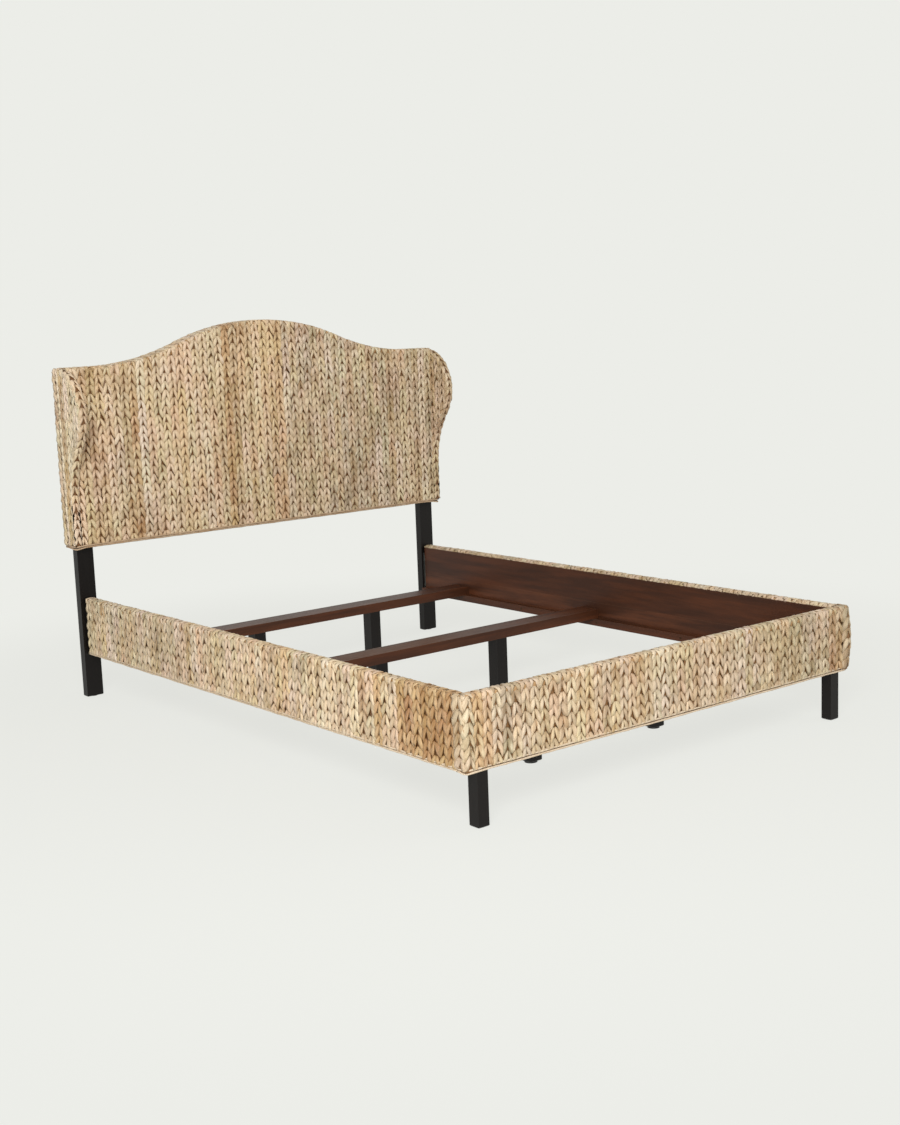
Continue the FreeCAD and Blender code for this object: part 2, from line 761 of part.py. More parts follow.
support_leg_bottom = S.glide_height + S.glide_gap
support_studs = []
for number, (name, front) in enumerate(zip(SLAT_NAMES, slat_fronts)):
    leg_front = front + S.support_leg_setback
    leg_middle_y = leg_front + S.support_leg_side / 2
    slat_holes = [slat_screw_holes[side][number] for side, sign in SIDES]
    for (side, sign), middle_x in zip(SIDES, support_middles):
        tag = "%s_%s" % (name, side)
        half_stud = S.support_stud_length / 2
        stud_start = (middle_x, leg_middle_y, cleat_top - half_stud)
        support_studs.append(rod("support_stud_" + tag, S.stud_radius, S.support_stud_length, stud_start, UP))
        stud_hole = rod(
            "support_stud_hole_" + tag,
            S.stud_radius + S.hole_clearance,
            S.support_stud_length + S.hole_clearance * 2,
            (middle_x, leg_middle_y, cleat_top - half_stud - S.hole_clearance),
            UP,
        )
        slat_holes.append(stud_hole)
        stem_hole = rod(
            "glide_hole_" + tag,
            S.glide_stem_radius + S.stem_clearance,
            S.glide_stem_length + S.stem_clearance * 2,
            (middle_x, leg_middle_y, support_leg_bottom - S.stem_clearance),
            UP,
        )
        leg = square_leg(
            "support_leg_blank_" + tag,
            middle_x,
            leg_front,
            S.support_leg_side,
            S.support_leg_side,
            support_leg_bottom,
            cleat_top,
        )
        keep(cut("support_leg_cut_" + tag, leg, [stud_hole, stem_hole]), "support_leg_" + tag)
        foot = rod("glide_foot_" + tag, S.glide_radius, S.glide_height, (middle_x, leg_middle_y, NONE), UP)
        stem_start = (middle_x, leg_middle_y, S.glide_height)
        stem = rod("glide_stem_" + tag, S.glide_stem_radius, S.glide_stem_length, stem_start, UP)
        keep(fuse("glide_fused_" + tag, [foot, stem]), "levelling_glide_" + tag)
    slat_x = (-slat_half_length, slat_half_length)
    slat = box("slat_blank_" + name, slat_x, (front, front + S.slat_width), (cleat_top, slat_top))
    keep(cut("slat_cut_" + name, slat, slat_holes), "slat_" + name)
group("support_leg_studs", support_studs)
group("slat_screws", [solid for side, sign in SIDES for solid in slat_screws[side]])
group("cleat_screws", [solid for side, sign in SIDES for solid in cleat_screws[side]])


# Headboard frame and panels

frame_y = (frame_front, frame_back)
keep(
    plate(
        "panel_body",
        "XZ_Plane",
        camel_outline(S.cover_thickness, wing_board_inside, board_bottom),
        panel_front,
        frame_front,
    ),
    "headboard_panel",
)
keep(
    plate(
        "back_panel_body",
        "XZ_Plane",
        camel_outline(S.cover_thickness, wing_board_outside, board_bottom),
        frame_back,
        head_back,
    ),
    "headboard_back_panel",
)
keep(
    plate(
        "top_rail_body",
        "XZ_Plane",
        camel_band(S.cover_thickness, S.frame_member, head_leg_inside),
        *frame_y,
    ),
    "headboard_top_rail",
)
bottom_rail_top = board_bottom + S.bottom_rail_height
keep(
    box("bottom_rail_box", (-head_leg_inside, head_leg_inside), frame_y, (board_bottom, bottom_rail_top)),
    "headboard_bottom_rail",
)
half_stile = S.frame_member / 2
crown_under = S.crown_radius - S.cover_thickness - S.frame_member
crown_sag = crown_under - (crown_under * crown_under - half_stile * half_stile).root()
stile_top = S.shoulder_height + S.crown_rise - S.cover_thickness - S.frame_member - crown_sag
keep(
    box("centre_stile_box", (-half_stile, half_stile), frame_y, (bottom_rail_top, stile_top)),
    "headboard_centre_stile",
)
for side, sign in SIDES:
    stile_x = across(sign, head_leg_inside, head_leg_outside)
    stile_y = (frame_front, head_leg_front)
    stile = box("side_stile_blank_" + side, stile_x, stile_y, (board_bottom, board_shoulder))
    keep(cut("side_stile_cut_" + side, stile, head_leg_holes[side]), "headboard_side_stile_" + side)
group("head_leg_bolts", [solid for side, sign in SIDES for solid in head_leg_bolts[side]])


# Wings

for side, sign in SIDES:
    board_x = across(sign, wing_board_inside, wing_board_outside)
    board_corners = wing_outline(S.cover_thickness, frame_back, board_bottom)
    keep(plate("wing_board_body_" + side, "YZ_Plane", board_corners, *board_x), "wing_board_" + side)

    cover_x = across(sign, wing_inside, wing_outside)
    cover = plate(
        "wing_cover_block_" + side, "YZ_Plane", wing_outline(NONE, head_back, board_bottom), *cover_x
    )

    def is_front_edge(edge):
        middle = edge.valueAt((edge.FirstParameter + edge.LastParameter) / 2)
        flat = near(edge.Vertexes[0].Point.x, edge.Vertexes[1].Point.x)
        low = near(middle.z, board_bottom.value)
        return flat and not near(middle.y, head_back.value) and not low

    dress(cover, "Fillet", "Radius", S.wing_edge_round, is_front_edge)
    board_space = plate(
        "wing_board_space_" + side,
        "YZ_Plane",
        wing_outline(S.cover_thickness, head_back + S.overrun, board_bottom - S.overrun),
        *board_x,
    )
    panel_space = box(
        "wing_panel_space_" + side,
        across(sign, wing_inside - S.overrun, wing_board_inside),
        (panel_cover_front, head_back + S.overrun),
        (board_bottom - S.overrun, S.shoulder_height + S.overrun),
    )
    keep(cut("wing_cover_cut_" + side, cover, [board_space, panel_space]), "wing_cover_" + side)


# Woven cover of the panel and the cord along the lower edge

panel_cover = plate(
    "panel_cover_block",
    "XZ_Plane",
    camel_outline(NONE, wing_board_inside, board_bottom),
    panel_cover_front,
    head_back,
)
panel_cover_space = plate(
    "panel_cover_space",
    "XZ_Plane",
    camel_outline(S.cover_thickness, wing_board_inside + S.overrun, board_bottom - S.overrun),
    panel_front,
    head_back + S.overrun,
)
keep(cut("panel_cover_cut", panel_cover, [panel_cover_space]), "headboard_cover")

cord_z = (S.headboard_bottom, board_bottom)
cord_back = wing_front + S.cover_thickness
headboard_cord_x = (-wing_outside, wing_outside)
headboard_cord_runs = [box("headboard_cord_front", headboard_cord_x, (wing_front, cord_back), cord_z)]
for side, sign in SIDES:
    cord_x = across(sign, wing_board_outside, wing_outside)
    headboard_cord_runs.append(box("headboard_cord_end_" + side, cord_x, (cord_back, head_back), cord_z))
keep(fuse("headboard_cord_fused", headboard_cord_runs), "headboard_cord")


# Checks and files

doc.recompute()
for item in doc.Objects:
    if "Invalid" in item.State or "Error" in item.State:
        raise RuntimeError("failed to build: %s (%s)" % (item.Name, item.State))
for node in nodes:
    if node.Shape.isNull() or not node.Shape.isValid():
        raise RuntimeError("bad shape: %s" % node.Label)

os.makedirs("parts", exist_ok=True)
for node in nodes:
    node.Shape.exportStep(os.path.join("parts", node.Label + ".step"))

whole = FreeCAD.BoundBox()
for node in nodes:
    whole.add(node.Shape.BoundBox)
print("%d sub-parts, %.1f x %.1f x %.1f mm" % (len(nodes), whole.XLength, whole.YLength, whole.ZLength))
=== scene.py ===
"""Looks of a woven queen bed: plaited covers, trim cords, stained boards, black legs and fittings."""

import math
import random
from functools import cache
from typing import NamedTuple

import bmesh
import bpy
import numpy as np
from bpy.props import FloatProperty, FloatVectorProperty, IntProperty, PointerProperty
from mathutils import Matrix, Vector, noise


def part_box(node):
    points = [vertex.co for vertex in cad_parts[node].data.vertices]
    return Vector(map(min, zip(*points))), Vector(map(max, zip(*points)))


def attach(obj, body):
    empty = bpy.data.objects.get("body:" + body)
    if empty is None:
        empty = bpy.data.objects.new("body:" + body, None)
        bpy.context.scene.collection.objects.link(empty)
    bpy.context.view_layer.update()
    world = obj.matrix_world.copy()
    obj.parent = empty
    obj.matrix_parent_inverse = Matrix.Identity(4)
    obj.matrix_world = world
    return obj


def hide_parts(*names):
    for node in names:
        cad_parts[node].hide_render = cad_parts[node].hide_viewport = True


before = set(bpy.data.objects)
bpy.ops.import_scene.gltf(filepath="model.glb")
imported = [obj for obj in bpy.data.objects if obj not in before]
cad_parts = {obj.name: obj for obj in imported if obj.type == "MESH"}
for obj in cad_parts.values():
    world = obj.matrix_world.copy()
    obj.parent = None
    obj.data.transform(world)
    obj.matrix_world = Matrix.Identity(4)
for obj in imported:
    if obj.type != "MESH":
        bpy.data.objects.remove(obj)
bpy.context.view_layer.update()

bl_info = {
    "name": "Woven bed",
    "version": (1, 0, 0),
    "blender": (4, 5, 0),
    "location": "View3D > Sidebar > Bed",
    "description": "Dresses the frame of a woven bed with plaits, cords and finishes",
    "category": "Object",
}

BODY = "bed"
SIDES = (("left", -1), ("right", 1))
X, Y, Z = range(3)
QUARTER_TURN = math.pi / 2
TINY = 1e-6

# Places that the covers and cords follow, from the frame, in metres
RAIL_LOW, RAIL_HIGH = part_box("rail_cover_right")
FOOT_LOW, FOOT_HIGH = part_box("foot_cover")
PANEL_LOW, PANEL_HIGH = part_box("headboard_cover")
WING_LOW, WING_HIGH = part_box("wing_cover_right")
HEAD_CORD_LOW, HEAD_CORD_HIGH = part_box("headboard_cord")
RAIL_CORD_LOW, RAIL_CORD_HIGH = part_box("rail_cord_right")
FOOT_CORD_LOW, FOOT_CORD_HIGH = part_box("foot_cord")

# Curves, corners and laps that a box doesn't give, in metres
SHOULDER_FLAT = 0.097
CROWN_RADIUS = 0.930
WING_BULGE_RADIUS = 0.170
WING_HOLLOW_RADIUS = 0.350
WING_CORNER = 0.008
PANEL_RECESS = 0.004
FACE_OVERLAP = 0.004
FOOT_CORNER = 0.014
HEM_CORNER = 0.010
HEM_TURN = 0.022
TRIM_CORNER = 0.022

# How far the footboard's weave stands out at its ends, at the least and the most, in metres
SWELL_RUN = 0.05
SWELL_LEFT = (0.001, 0.005)
SWELL_RIGHT = (0.005, 0.013)

# How finely the headboard's curves are followed
CURVE_SAMPLES = 400
TURN_SAMPLES = 50
HEM_SAMPLES = 1600


def linear(red, green, blue):
    """A linear colour from the usual values of 0 to 255."""
    values = [value / 255 for value in (red, green, blue)]
    return tuple(v / 12.92 if v <= 0.04045 else ((v + 0.055) / 1.055) ** 2.4 for v in values)


# Settings


def length_value(name, default, description):
    return FloatProperty(name=name, description=description, default=default, unit="LENGTH", precision=4)


def angle_value(name, degrees, description):
    return FloatProperty(name=name, description=description, default=math.radians(degrees), unit="ROTATION")


def colour_value(name, default, description):
    return FloatVectorProperty(
        name=name, description=description, default=default, subtype="COLOR", size=3, min=0.0, max=1.0
    )


def place_value(name, default, description):
    return FloatVectorProperty(
        name=name, description=description, default=default, subtype="TRANSLATION", unit="LENGTH", size=3
    )


class WeaveSettings(bpy.types.PropertyGroup):
    """Sizes and colours of the plaits."""

    plait_width: length_value("Plait width", 0.034, "Width of one plait on the headboard and footboard")
    rail_plait_width: length_value("Rail plait width", 0.036, "Width of one plait on the rails")
    rail_stitch: length_value("Rail stitch", 0.033, "Length of a stitch on the rails and footboard")
    head_stitch: length_value("Headboard stitch", 0.031, "Length of a stitch on the headboard")
    strand_length: length_value("Strand length", 0.0475, "Length of the strand that shows in a stitch")
    strand_width: length_value("Strand width", 0.0166, "Width of a strand")
    strand_thickness: length_value("Strand thickness", 0.0088, "Thickness of a strand")
    strand_inset: length_value("Strand inset", 0.0034, "From a strand's upper end to the plait's middle")
    strand_lean: length_value("Strand lean", 0.0126, "How far a strand leans out over its length")
    unevenness: length_value("Unevenness", 0.0016, "How far strands stray from their places")
    ruffle: length_value("Ruffle", 0.0005, "How uneven a strand's own surface is")
    sway: length_value("Sway", 0.0034, "How far plaits sway from side to side")
    cord_overlap: length_value("Cord overlap", 0.005, "How far the plaits' lower ends reach behind the cords")
    core_reach: length_value("Core reach", 0.004, "How far a plait's back runs on below its stitches")
    hem_proud: length_value("Hem proud", 0.004, "How far the hem stands out of the headboard's sides")
    hem_back: length_value("Hem at the back", 0.010, "How far the hem stands out of the headboard's back")
    corner_overlap: length_value("Corner overlap", 0.009, "How far plaits lap behind each other in a corner")
    edge_round: length_value("Edge rounding", 0.010, "Rounding where plaits turn over an edge")
    pale: colour_value("Pale", linear(231, 215, 194), "Palest strands")
    golden: colour_value("Golden", linear(220, 189, 149), "Golden strands")
    grey: colour_value("Grey brown", linear(156, 138, 110), "Weathered strands")
    rust: colour_value("Rust brown", linear(160, 120, 78), "Browned strands")
    leafy: colour_value("Leafy tint", (0.965, 1.0, 0.87), "Tint of strands that dried greener")
    rosy: colour_value("Rosy tint", (1.0, 0.94, 0.95), "Tint of strands that dried redder")
    # Colour of the painted shade in the creases between strands
    crease_shade: colour_value("Painted crease shade", linear(132, 90, 22), "Painted shade in the creases between strands")
    seed: IntProperty(name="Seed", description="Seed of the uneven places and tones", default=7)


class TrimSettings(bpy.types.PropertyGroup):
    """Cords along the lower edges."""

    strand_radius: length_value("Cord radius", 0.0030, "Radius of each of the two cords")
    spacing: length_value("Cord spacing", 0.0060, "From the middle of one cord to the other's")
    seam_radius: length_value("Seam radius", 0.0013, "Radius of the threads that close the corner seams")
    seam_step: length_value("Seam step", 0.0026, "From one thread of a seam to the next")
    wave: length_value("Wave", 0.0008, "How far the cords wander")
    wave_length: length_value("Wave length", 0.045, "Length of one wander")
    wing_sag: length_value("Wing sag", 0.007, "How far the cord sags at the wings' front corners")
    foot_sag: length_value("Foot sag", 0.005, "How far the cord sags at the footboard's corners")
    colour: colour_value("Cord", linear(232, 214, 188), "Pale twisted fibre of the cords")
    browned: colour_value("Browned", linear(176, 142, 104), "Fibre of the seams and the headboard's cord")
    # Colour of the painted shade in the hollows of the twist
    twist: colour_value("Painted twist shade", linear(160, 132, 100), "Painted shade in the hollows of the twist")


class BoardSettings(bpy.types.PropertyGroup):
    """Stained boards, slats and cleats."""

    stain: colour_value("Stain", linear(91, 51, 31), "Brown stain on the boards")
    stain_dark: colour_value("Dark grain", linear(64, 37, 24), "Darker lines of the grain")
    lower: colour_value("Lower planks", linear(103, 60, 38), "Lighter stain on the lower planks")
    panel: colour_value("Panel", linear(92, 64, 44), "Sheet board of the headboard")
    worn: colour_value("Worn edge", linear(128, 92, 68), "Edges where the stain has worn")


class LegSettings(bpy.types.PropertyGroup):
    """Black legs and fittings."""

    black: colour_value("Black", linear(19, 15, 13), "Paint of the legs")
    black_worn: colour_value("Worn black", linear(54, 48, 46), "Rubbed edges of the legs")
    zinc: colour_value("Zinc", linear(176, 178, 176), "Plated steel of the fittings")
    browned: colour_value("Browned steel", linear(84, 60, 46), "Screws of the cleats and slats")
    spangle: colour_value("Spangle tint", linear(206, 206, 200), "Tint of the duller spangles of the plating")
    plastic: colour_value("Plastic", linear(26, 26, 27), "Moulded glides")
    plastic_pale: colour_value("Pale plastic", linear(58, 57, 56), "Paler specks of the glides")


class StageSettings(bpy.types.PropertyGroup):
    """Camera, lamps and floor."""

    camera_place: place_value("Camera place", (-3.3033, -4.1602, 1.3597), "Where the camera stands")
    camera_yaw: angle_value("Yaw", 38.908, "Turn from +Y towards +X")
    camera_pitch: angle_value("Pitch", 9.144, "Tilt below level")
    camera_roll: angle_value("Roll", 2.148, "Roll of the camera")
    camera_lens: FloatProperty(name="Lens", description="Focal length", default=49.88, unit="CAMERA")
    background: colour_value("Background", linear(236, 237, 232), "Floor and backdrop")
    floor_shade: FloatProperty(
        name="Floor shading",
        description="How much of its shading the floor shows",
        default=0.16,
        subtype="FACTOR",
    )
    floor_size: length_value("Floor size", 30.0, "From the middle of the floor to its edges")
    floor_near: length_value("Near floor", 1.5, "Distance from the middle up to which the floor is shaded")
    floor_far: length_value("Far floor", 3.0, "Distance from which the floor is plain")
    sky: colour_value("Sky colour", (1.0, 0.985, 0.96), "Colour of the soft light all round")
    sky_strength: FloatProperty(name="Sky", description="Strength of the soft light all round", default=0.40)
    aim: place_value("Aim", (-0.1, -0.2, 0.55), "What the lamps point at")
    key_place: place_value("Key place", (-4.0, -4.4, 3.6), "Where the key lamp stands")
    key_size: length_value("Key size", 2.4, "Side of the key lamp")
    key_power: FloatProperty(name="Key lamp", description="Power of the key lamp in watts", default=330.0)
    fill_place: place_value("Fill place", (3.2, -2.6, 3.2), "Where the fill lamp stands")
    fill_size: length_value("Fill size", 3.0, "Side of the fill lamp")
    fill_power: FloatProperty(name="Fill lamp", description="Power of the fill lamp in watts", default=22.0)


# Meshes


def new_piece(name, bm, material, replaced):
    """Turn a bmesh into a finished piece that rides on the bed."""
    mesh = bpy.data.meshes.new(name)
    bm.to_mesh(mesh)
    bm.free()
    mesh.materials.append(material)
    piece = bpy.data.objects.new(name, mesh)
    bpy.context.scene.collection.objects.link(piece)
    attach(piece, BODY)
    if replaced:
        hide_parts(*replaced)


def everything(bm):
    return bm.verts[:] + bm.edges[:] + bm.faces[:]


def only(kind, items):
    """The vertices, edges or faces among what a bmesh operator gives back."""
    return [item for item in items if isinstance(item, kind)]


def spanning(edges, axis, length):
    """The edges that reach further than a length along one axis."""
    return [edge for edge in edges if abs(edge.verts[0].co[axis] - edge.verts[1].co[axis]) > length]


def stack(x, y, z):
    return np.stack([x, y, z], axis=1)


# Strands and plaits

STRAND_SIDES = 6
STRAND_RINGS = 6

# Where along a strand it stands out most, and the powers that fill it out and bow its lean
CREST_SHARE = 0.45
FULL_POWER = 0.65
LEAN_POWER = 0.9

# How a strand sinks, narrows and thins from its crest to its tucked upper end and to its tip
CREST_SINK_SHARE = 0.98
TUCKED_SINK_SHARE = 0.85
TIP_SINK_SHARE = 0.75
SINK_POWER = 1.5
TUCKED_NARROWING_SHARE = 0.02
TIP_NARROWING_SHARE = 0.32
TUCKED_THINNING_SHARE = 0.25
TIP_THINNING_SHARE = 0.2

# The back of a plait, as a share of a strand's thickness, and the cuts that let it bend across
CORE_SHARE = 0.2
BENT_CUTS = 5

PLAIT_VALUES = ("tone", "gold", "tint", "depth")


def shape_strand(verts, weave):
    """Shape a unit ball into the left strand of a stitch: x across, y along, z out of the face."""
    half_length = weave.strand_length / 2
    half_width = weave.strand_width / 2
    half_thickness = weave.strand_thickness / 2
    ridge_up = Matrix.Rotation(math.pi / STRAND_SIDES, 3, "Z")
    for vert in verts:
        x, y, z = ridge_up @ vert.co
        fuller = max(math.hypot(x, y), TINY) ** (FULL_POWER - 1)
        share = (z + 1) / 2
        tucked = max(0.0, (share - CREST_SHARE) / (1 - CREST_SHARE))
        tip = max(0.0, (CREST_SHARE - share) / CREST_SHARE)
        middle = -weave.strand_inset - weave.strand_lean * (1 - share) ** LEAN_POWER
        sink = TUCKED_SINK_SHARE * tucked ** SINK_POWER + TIP_SINK_SHARE * tip ** SINK_POWER
        level = -half_thickness * (CREST_SINK_SHARE + sink)
        width = half_width * (1 - TUCKED_NARROWING_SHARE * tucked - TIP_NARROWING_SHARE * tip)
        depth = half_thickness * (1 - TUCKED_THINNING_SHARE * tucked - TIP_THINNING_SHARE * tip)
        vert.co = (middle + x * fuller * width, z * half_length, level - y * fuller * depth)


class Plait:
    """A flat plait of so many stitches, as a mesh to be laid on a face."""

    def __init__(self, weave, stitch, count, bent):
        bm = bmesh.new()
        bm.loops.layers.uv.new("fibre")
        strand = bmesh.ops.create_uvsphere(
            bm, u_segments=STRAND_SIDES, v_segments=STRAND_RINGS, radius=1.0, calc_uvs=True
        )["verts"]
        shape_strand(strand, weave)
        self.strand_verts = len(strand)
        self.strands = 2 * count
        self.woven = self.strands * self.strand_verts
        mirrored = bmesh.ops.duplicate(bm, geom=everything(bm))["geom"]
        bmesh.ops.scale(bm, vec=(-1, 1, 1), verts=only(bmesh.types.BMVert, mirrored))
        bmesh.ops.reverse_faces(bm, faces=only(bmesh.types.BMFace, mirrored))
        pair = everything(bm)
        for number in range(1, count):
            copy = bmesh.ops.duplicate(bm, geom=pair)["geom"]
            bmesh.ops.translate(bm, vec=(0, stitch * number, 0), verts=only(bmesh.types.BMVert, copy))
        self.add_core(bm, weave, stitch, count, bent)
        for face in bm.faces:
            face.smooth = True
        self.mesh = bpy.data.meshes.new("plait")
        bm.to_mesh(self.mesh)
        bm.free()
        for name in PLAIT_VALUES:
            self.mesh.attributes.new(name, "FLOAT", "POINT")
        self.flat = np.array([vert.co for vert in self.mesh.vertices])

    def add_core(self, bm, weave, stitch, count, bent):
        """The strands at the back of the plait, as one flat band that runs on past both ends."""
        thickness = weave.strand_thickness * CORE_SHARE
        length = stitch * (count + 2)
        core = bmesh.ops.create_cube(bm, size=1.0)["verts"]
        bmesh.ops.scale(bm, vec=(weave.plait_width, length, thickness), verts=core)
        level = thickness / 2 - weave.edge_round
        bmesh.ops.translate(bm, vec=(0, stitch * count / 2, level), verts=core)
        if bent:
            edges = dict.fromkeys(edge for vert in core for edge in vert.link_edges)
            crosswise = spanning(edges, X, thickness)
            bmesh.ops.subdivide_edges(bm, edges=crosswise, cuts=BENT_CUTS, use_grid_fill=True)
        lengthwise = spanning(bm.edges, Y, length / 2)
        bmesh.ops.subdivide_edges(bm, edges=lengthwise, cuts=2 * count, use_grid_fill=True)


@cache
def plait_of(stitch, count, bent):
    return Plait(bpy.context.scene.bed_weave, stitch, count, bent)


# Laying of plaits

# Pace of the stitches and where the first one starts, with rows of the noise that they drift by
PACE_SHARE = 0.03
PACE_JITTER = 0.006
PACE_ROW = 3.5
PHASE_SHARE = 0.5
PHASE_JITTER = 0.07
PHASE_ROW = 8.5
DRIFT_RUN = 0.17
START_SHARE = 0.1
SPARE_STITCHES = 0.55

# Spread of the strands' turns, of their sizes across, along and out, and shares of how far they stray
TURN_SPREAD = 0.065
SIZE_SPREADS = (0.05, 0.03, 0.06)
STRAY_SHARES = (1.0, 1.5, 0.4)
RUFFLE_SEEDS = 100000

# Sway of a plait's middle line
SWAY_STEP = 0.03
SWAY_LENGTH = 0.14
SWAY_SPREAD = 31.7
SWAY_POINTS = 3

# How much flatter or fuller plaits are at an edge, where they bend across, and on the footboard
EDGE_FLATTENING = 0.72
EDGE_RUN = 0.018
BENT_RELIEF = 0.75
BENT_FULLNESS = 1.25
FOOT_RELIEF = 0.92

# How much is kept of what passes the end of a plait
CUT_SHARE = 0.06


class Wander(NamedTuple):
    """How one value of the strands changes over a cover."""

    usual: float
    plait_spread: float
    strand_spread: float
    drift: float
    drift_length: float
    plait_step: float
    row: float
    least: float


WANDERS = {
    "tone": Wander(0.56, 0.07, 0.14, 0.34, 0.14, 3.7, 0.0, 0.02),
    "gold": Wander(0.46, 0.10, 0.10, 0.36, 0.18, 5.3, 90.5, 0.0),
    "tint": Wander(0.50, 0.00, 0.12, 0.75, 0.12, 1.9, 140.5, 0.0),
}
CORE_TONES = {"tone": 0.3, "gold": 1.0, "tint": 0.5}
COLUMN_SEEDS = 7919

# A wider drift of the tone over several plaits
WIDE_DRIFT = 0.14
WIDE_ACROSS = 0.21
WIDE_ALONG = 0.5
WIDE_ROW = 40.5


def soft_limit(values, low, high):
    """Values that hardly pass the ends of a plait, so that strands are cut off there."""
    values = np.where(values < low, low + (values - low) * CUT_SHARE, values)
    return np.where(values > high, high + (values - high) * CUT_SHARE, values)


def even_places(low, high, width):
    """Middles of plaits that fill a span, and the width of each."""
    count = max(1, round((high - low) / width))
    step = (high - low) / count
    return [low + step * (number + 0.5) for number in range(count)], step


class Weaver:
    """Lays the plaits of one cover, with a seeded draw and stretches of tone of its own."""

    def __init__(self, weave, stitch, draw, stretches=(), plait_width=None):
        self.weave = weave
        self.stitch = stitch
        self.seed = weave.seed + draw
        self.stretches = stretches
        self.plait_width = plait_width or weave.plait_width
        self.rng = random.Random(self.seed)
        self.bm = bmesh.new()

    def lay(self, surface, middle, start, end, widening=1.0, bent=False, edge_at=None, relief=1.0):
        """Lay a plait on a surface, with its middle line at middle, from start to end along it."""
        weave = self.weave
        pace = 1 + PACE_SHARE * self.drift(middle, PACE_ROW) + self.rng.uniform(-PACE_JITTER, PACE_JITTER)
        count = max(1, math.ceil((end - start) / (self.stitch * pace) + SPARE_STITCHES))
        phase = PHASE_SHARE * self.drift(middle, PHASE_ROW) + self.rng.uniform(-PHASE_JITTER, PHASE_JITTER)
        plait = plait_of(self.stitch, count, bent)
        flat = plait.flat.copy()
        values = self.loosen(plait, flat, middle, start, BENT_FULLNESS if bent else 1.0)
        flat[:, Y] = flat[:, Y] * pace + start + (phase + START_SHARE) * self.stitch
        along = soft_limit(flat[:, Y], start, end)
        along[plait.woven:] = soft_limit(flat[plait.woven:, Y], start - weave.core_reach, end)
        ruffles = np.random.RandomState(self.rng.randrange(RUFFLE_SEEDS))
        flat[:plait.woven] += ruffles.normal(0, weave.ruffle, (plait.woven, 3))
        flat[:, Z] *= relief
        if edge_at is not None:
            near = np.exp(-((np.minimum(along - edge_at, 0) / EDGE_RUN) ** 2))
            flat[:, Z] *= 1 - EDGE_FLATTENING * near
        flat[:, X] += self.sway(middle, start, end, along)
        width = self.plait_width / weave.plait_width * widening
        points, normals = surface(middle + flat[:, X] * width, along)
        out = BENT_RELIEF if bent else 1.0
        values["depth"] = flat[:, Z]
        self.add(plait.mesh, points + normals * flat[:, Z:] * out, values)

    def drift(self, middle, row):
        """A slow change from plait to plait."""
        return noise.noise(Vector((middle / DRIFT_RUN, row, self.weave.seed)))

    def loosen(self, plait, flat, middle, start, fullness):
        """Turn, stretch and shift each strand of a flat plait a little, and give each its tones."""
        values = {name: np.full(len(flat), value) for name, value in CORE_TONES.items()}
        unevenness = self.weave.unevenness
        for number in range(plait.strands):
            strand = slice(number * plait.strand_verts, (number + 1) * plait.strand_verts)
            centre = flat[strand].mean(axis=0)
            turn = self.rng.gauss(0, TURN_SPREAD)
            sizes = [1 + self.rng.gauss(0, spread) for spread in SIZE_SPREADS]
            sizes[X] *= fullness
            moved = (flat[strand] - centre) * sizes
            across = moved[:, X] * math.cos(turn) - moved[:, Y] * math.sin(turn)
            along = moved[:, X] * math.sin(turn) + moved[:, Y] * math.cos(turn)
            shift = [self.rng.gauss(0, unevenness) * share for share in STRAY_SHARES]
            flat[strand] = stack(across, along, moved[:, Z]) + centre + shift
            for name, value in self.tones(middle, start + centre[Y]).items():
                values[name][strand] = value
        return values

    def tones(self, middle, along):
        """Tone, goldness and tint of a strand: by plait, by drifts along it, by stretches and by a draw."""
        column = round(middle / self.plait_width)
        pick = random.Random(self.seed * COLUMN_SEEDS + column)
        values = {}
        for name, wander in WANDERS.items():
            place = Vector((column * wander.plait_step, along / wander.drift_length, self.seed + wander.row))
            by_plait = pick.gauss(0, wander.plait_spread) + wander.drift * noise.noise(place)
            values[name] = wander.usual + by_plait + self.rng.gauss(0, wander.strand_spread)
        wide = Vector((middle / WIDE_ACROSS, along / WIDE_ALONG, self.seed + WIDE_ROW))
        values["tone"] += WIDE_DRIFT * noise.noise(wide)
        for low, high, tone_shift, gold_shift in self.stretches:
            if low <= middle <= high:
                values["tone"] += tone_shift
                values["gold"] += gold_shift
        return {name: min(max(value, WANDERS[name].least), 1.0) for name, value in values.items()}

    def sway(self, middle, start, end, along):
        """How far the plait's middle line sways to the side at places along it."""
        marks = np.linspace(start, end, SWAY_POINTS + int((end - start) / SWAY_STEP))
        spots = [Vector((middle * SWAY_SPREAD, mark / SWAY_LENGTH, self.weave.seed)) for mark in marks]
        return np.interp(along, marks, [noise.noise(spot) * self.weave.sway for spot in spots])

    def add(self, mesh, points, values):
        """Add a plait's mesh to the cover, with its vertices at these points."""
        mesh = mesh.copy()
        mesh.vertices.foreach_set("co", points.astype(np.float32).ravel())
        for name in PLAIT_VALUES:
            mesh.attributes[name].data.foreach_set("value", values[name].astype(np.float32))
        self.bm.from_mesh(mesh)
        bpy.data.meshes.remove(mesh)

    def finish(self, name, replaced):
        new_piece(name, self.bm, weave_material(), replaced)


# Surfaces that plaits lie on: each gives points and outward normals for places across and along


def round_corner(far, flat, radius):
    """How far on, how deep and how turned a place is that follows a flat, a rounded corner and a side."""
    turn = np.clip((far - flat) / radius, 0, QUARTER_TURN)
    past = np.maximum(far - flat - radius * QUARTER_TURN, 0)
    return np.minimum(far, flat) + radius * np.sin(turn), radius * (1 - np.cos(turn)) + past, turn


def over_edge(along, rise, radius, depth):
    """How far back, how high and how turned a plait is that goes up a face, over its edge and across."""
    crossing = rise + radius * QUARTER_TURN
    up, back, turn = round_corner(np.minimum(along, crossing), rise, radius)
    across, down, far_turn = round_corner(np.maximum(along - crossing, 0), depth, radius)
    return back + across, up - down, turn + far_turn


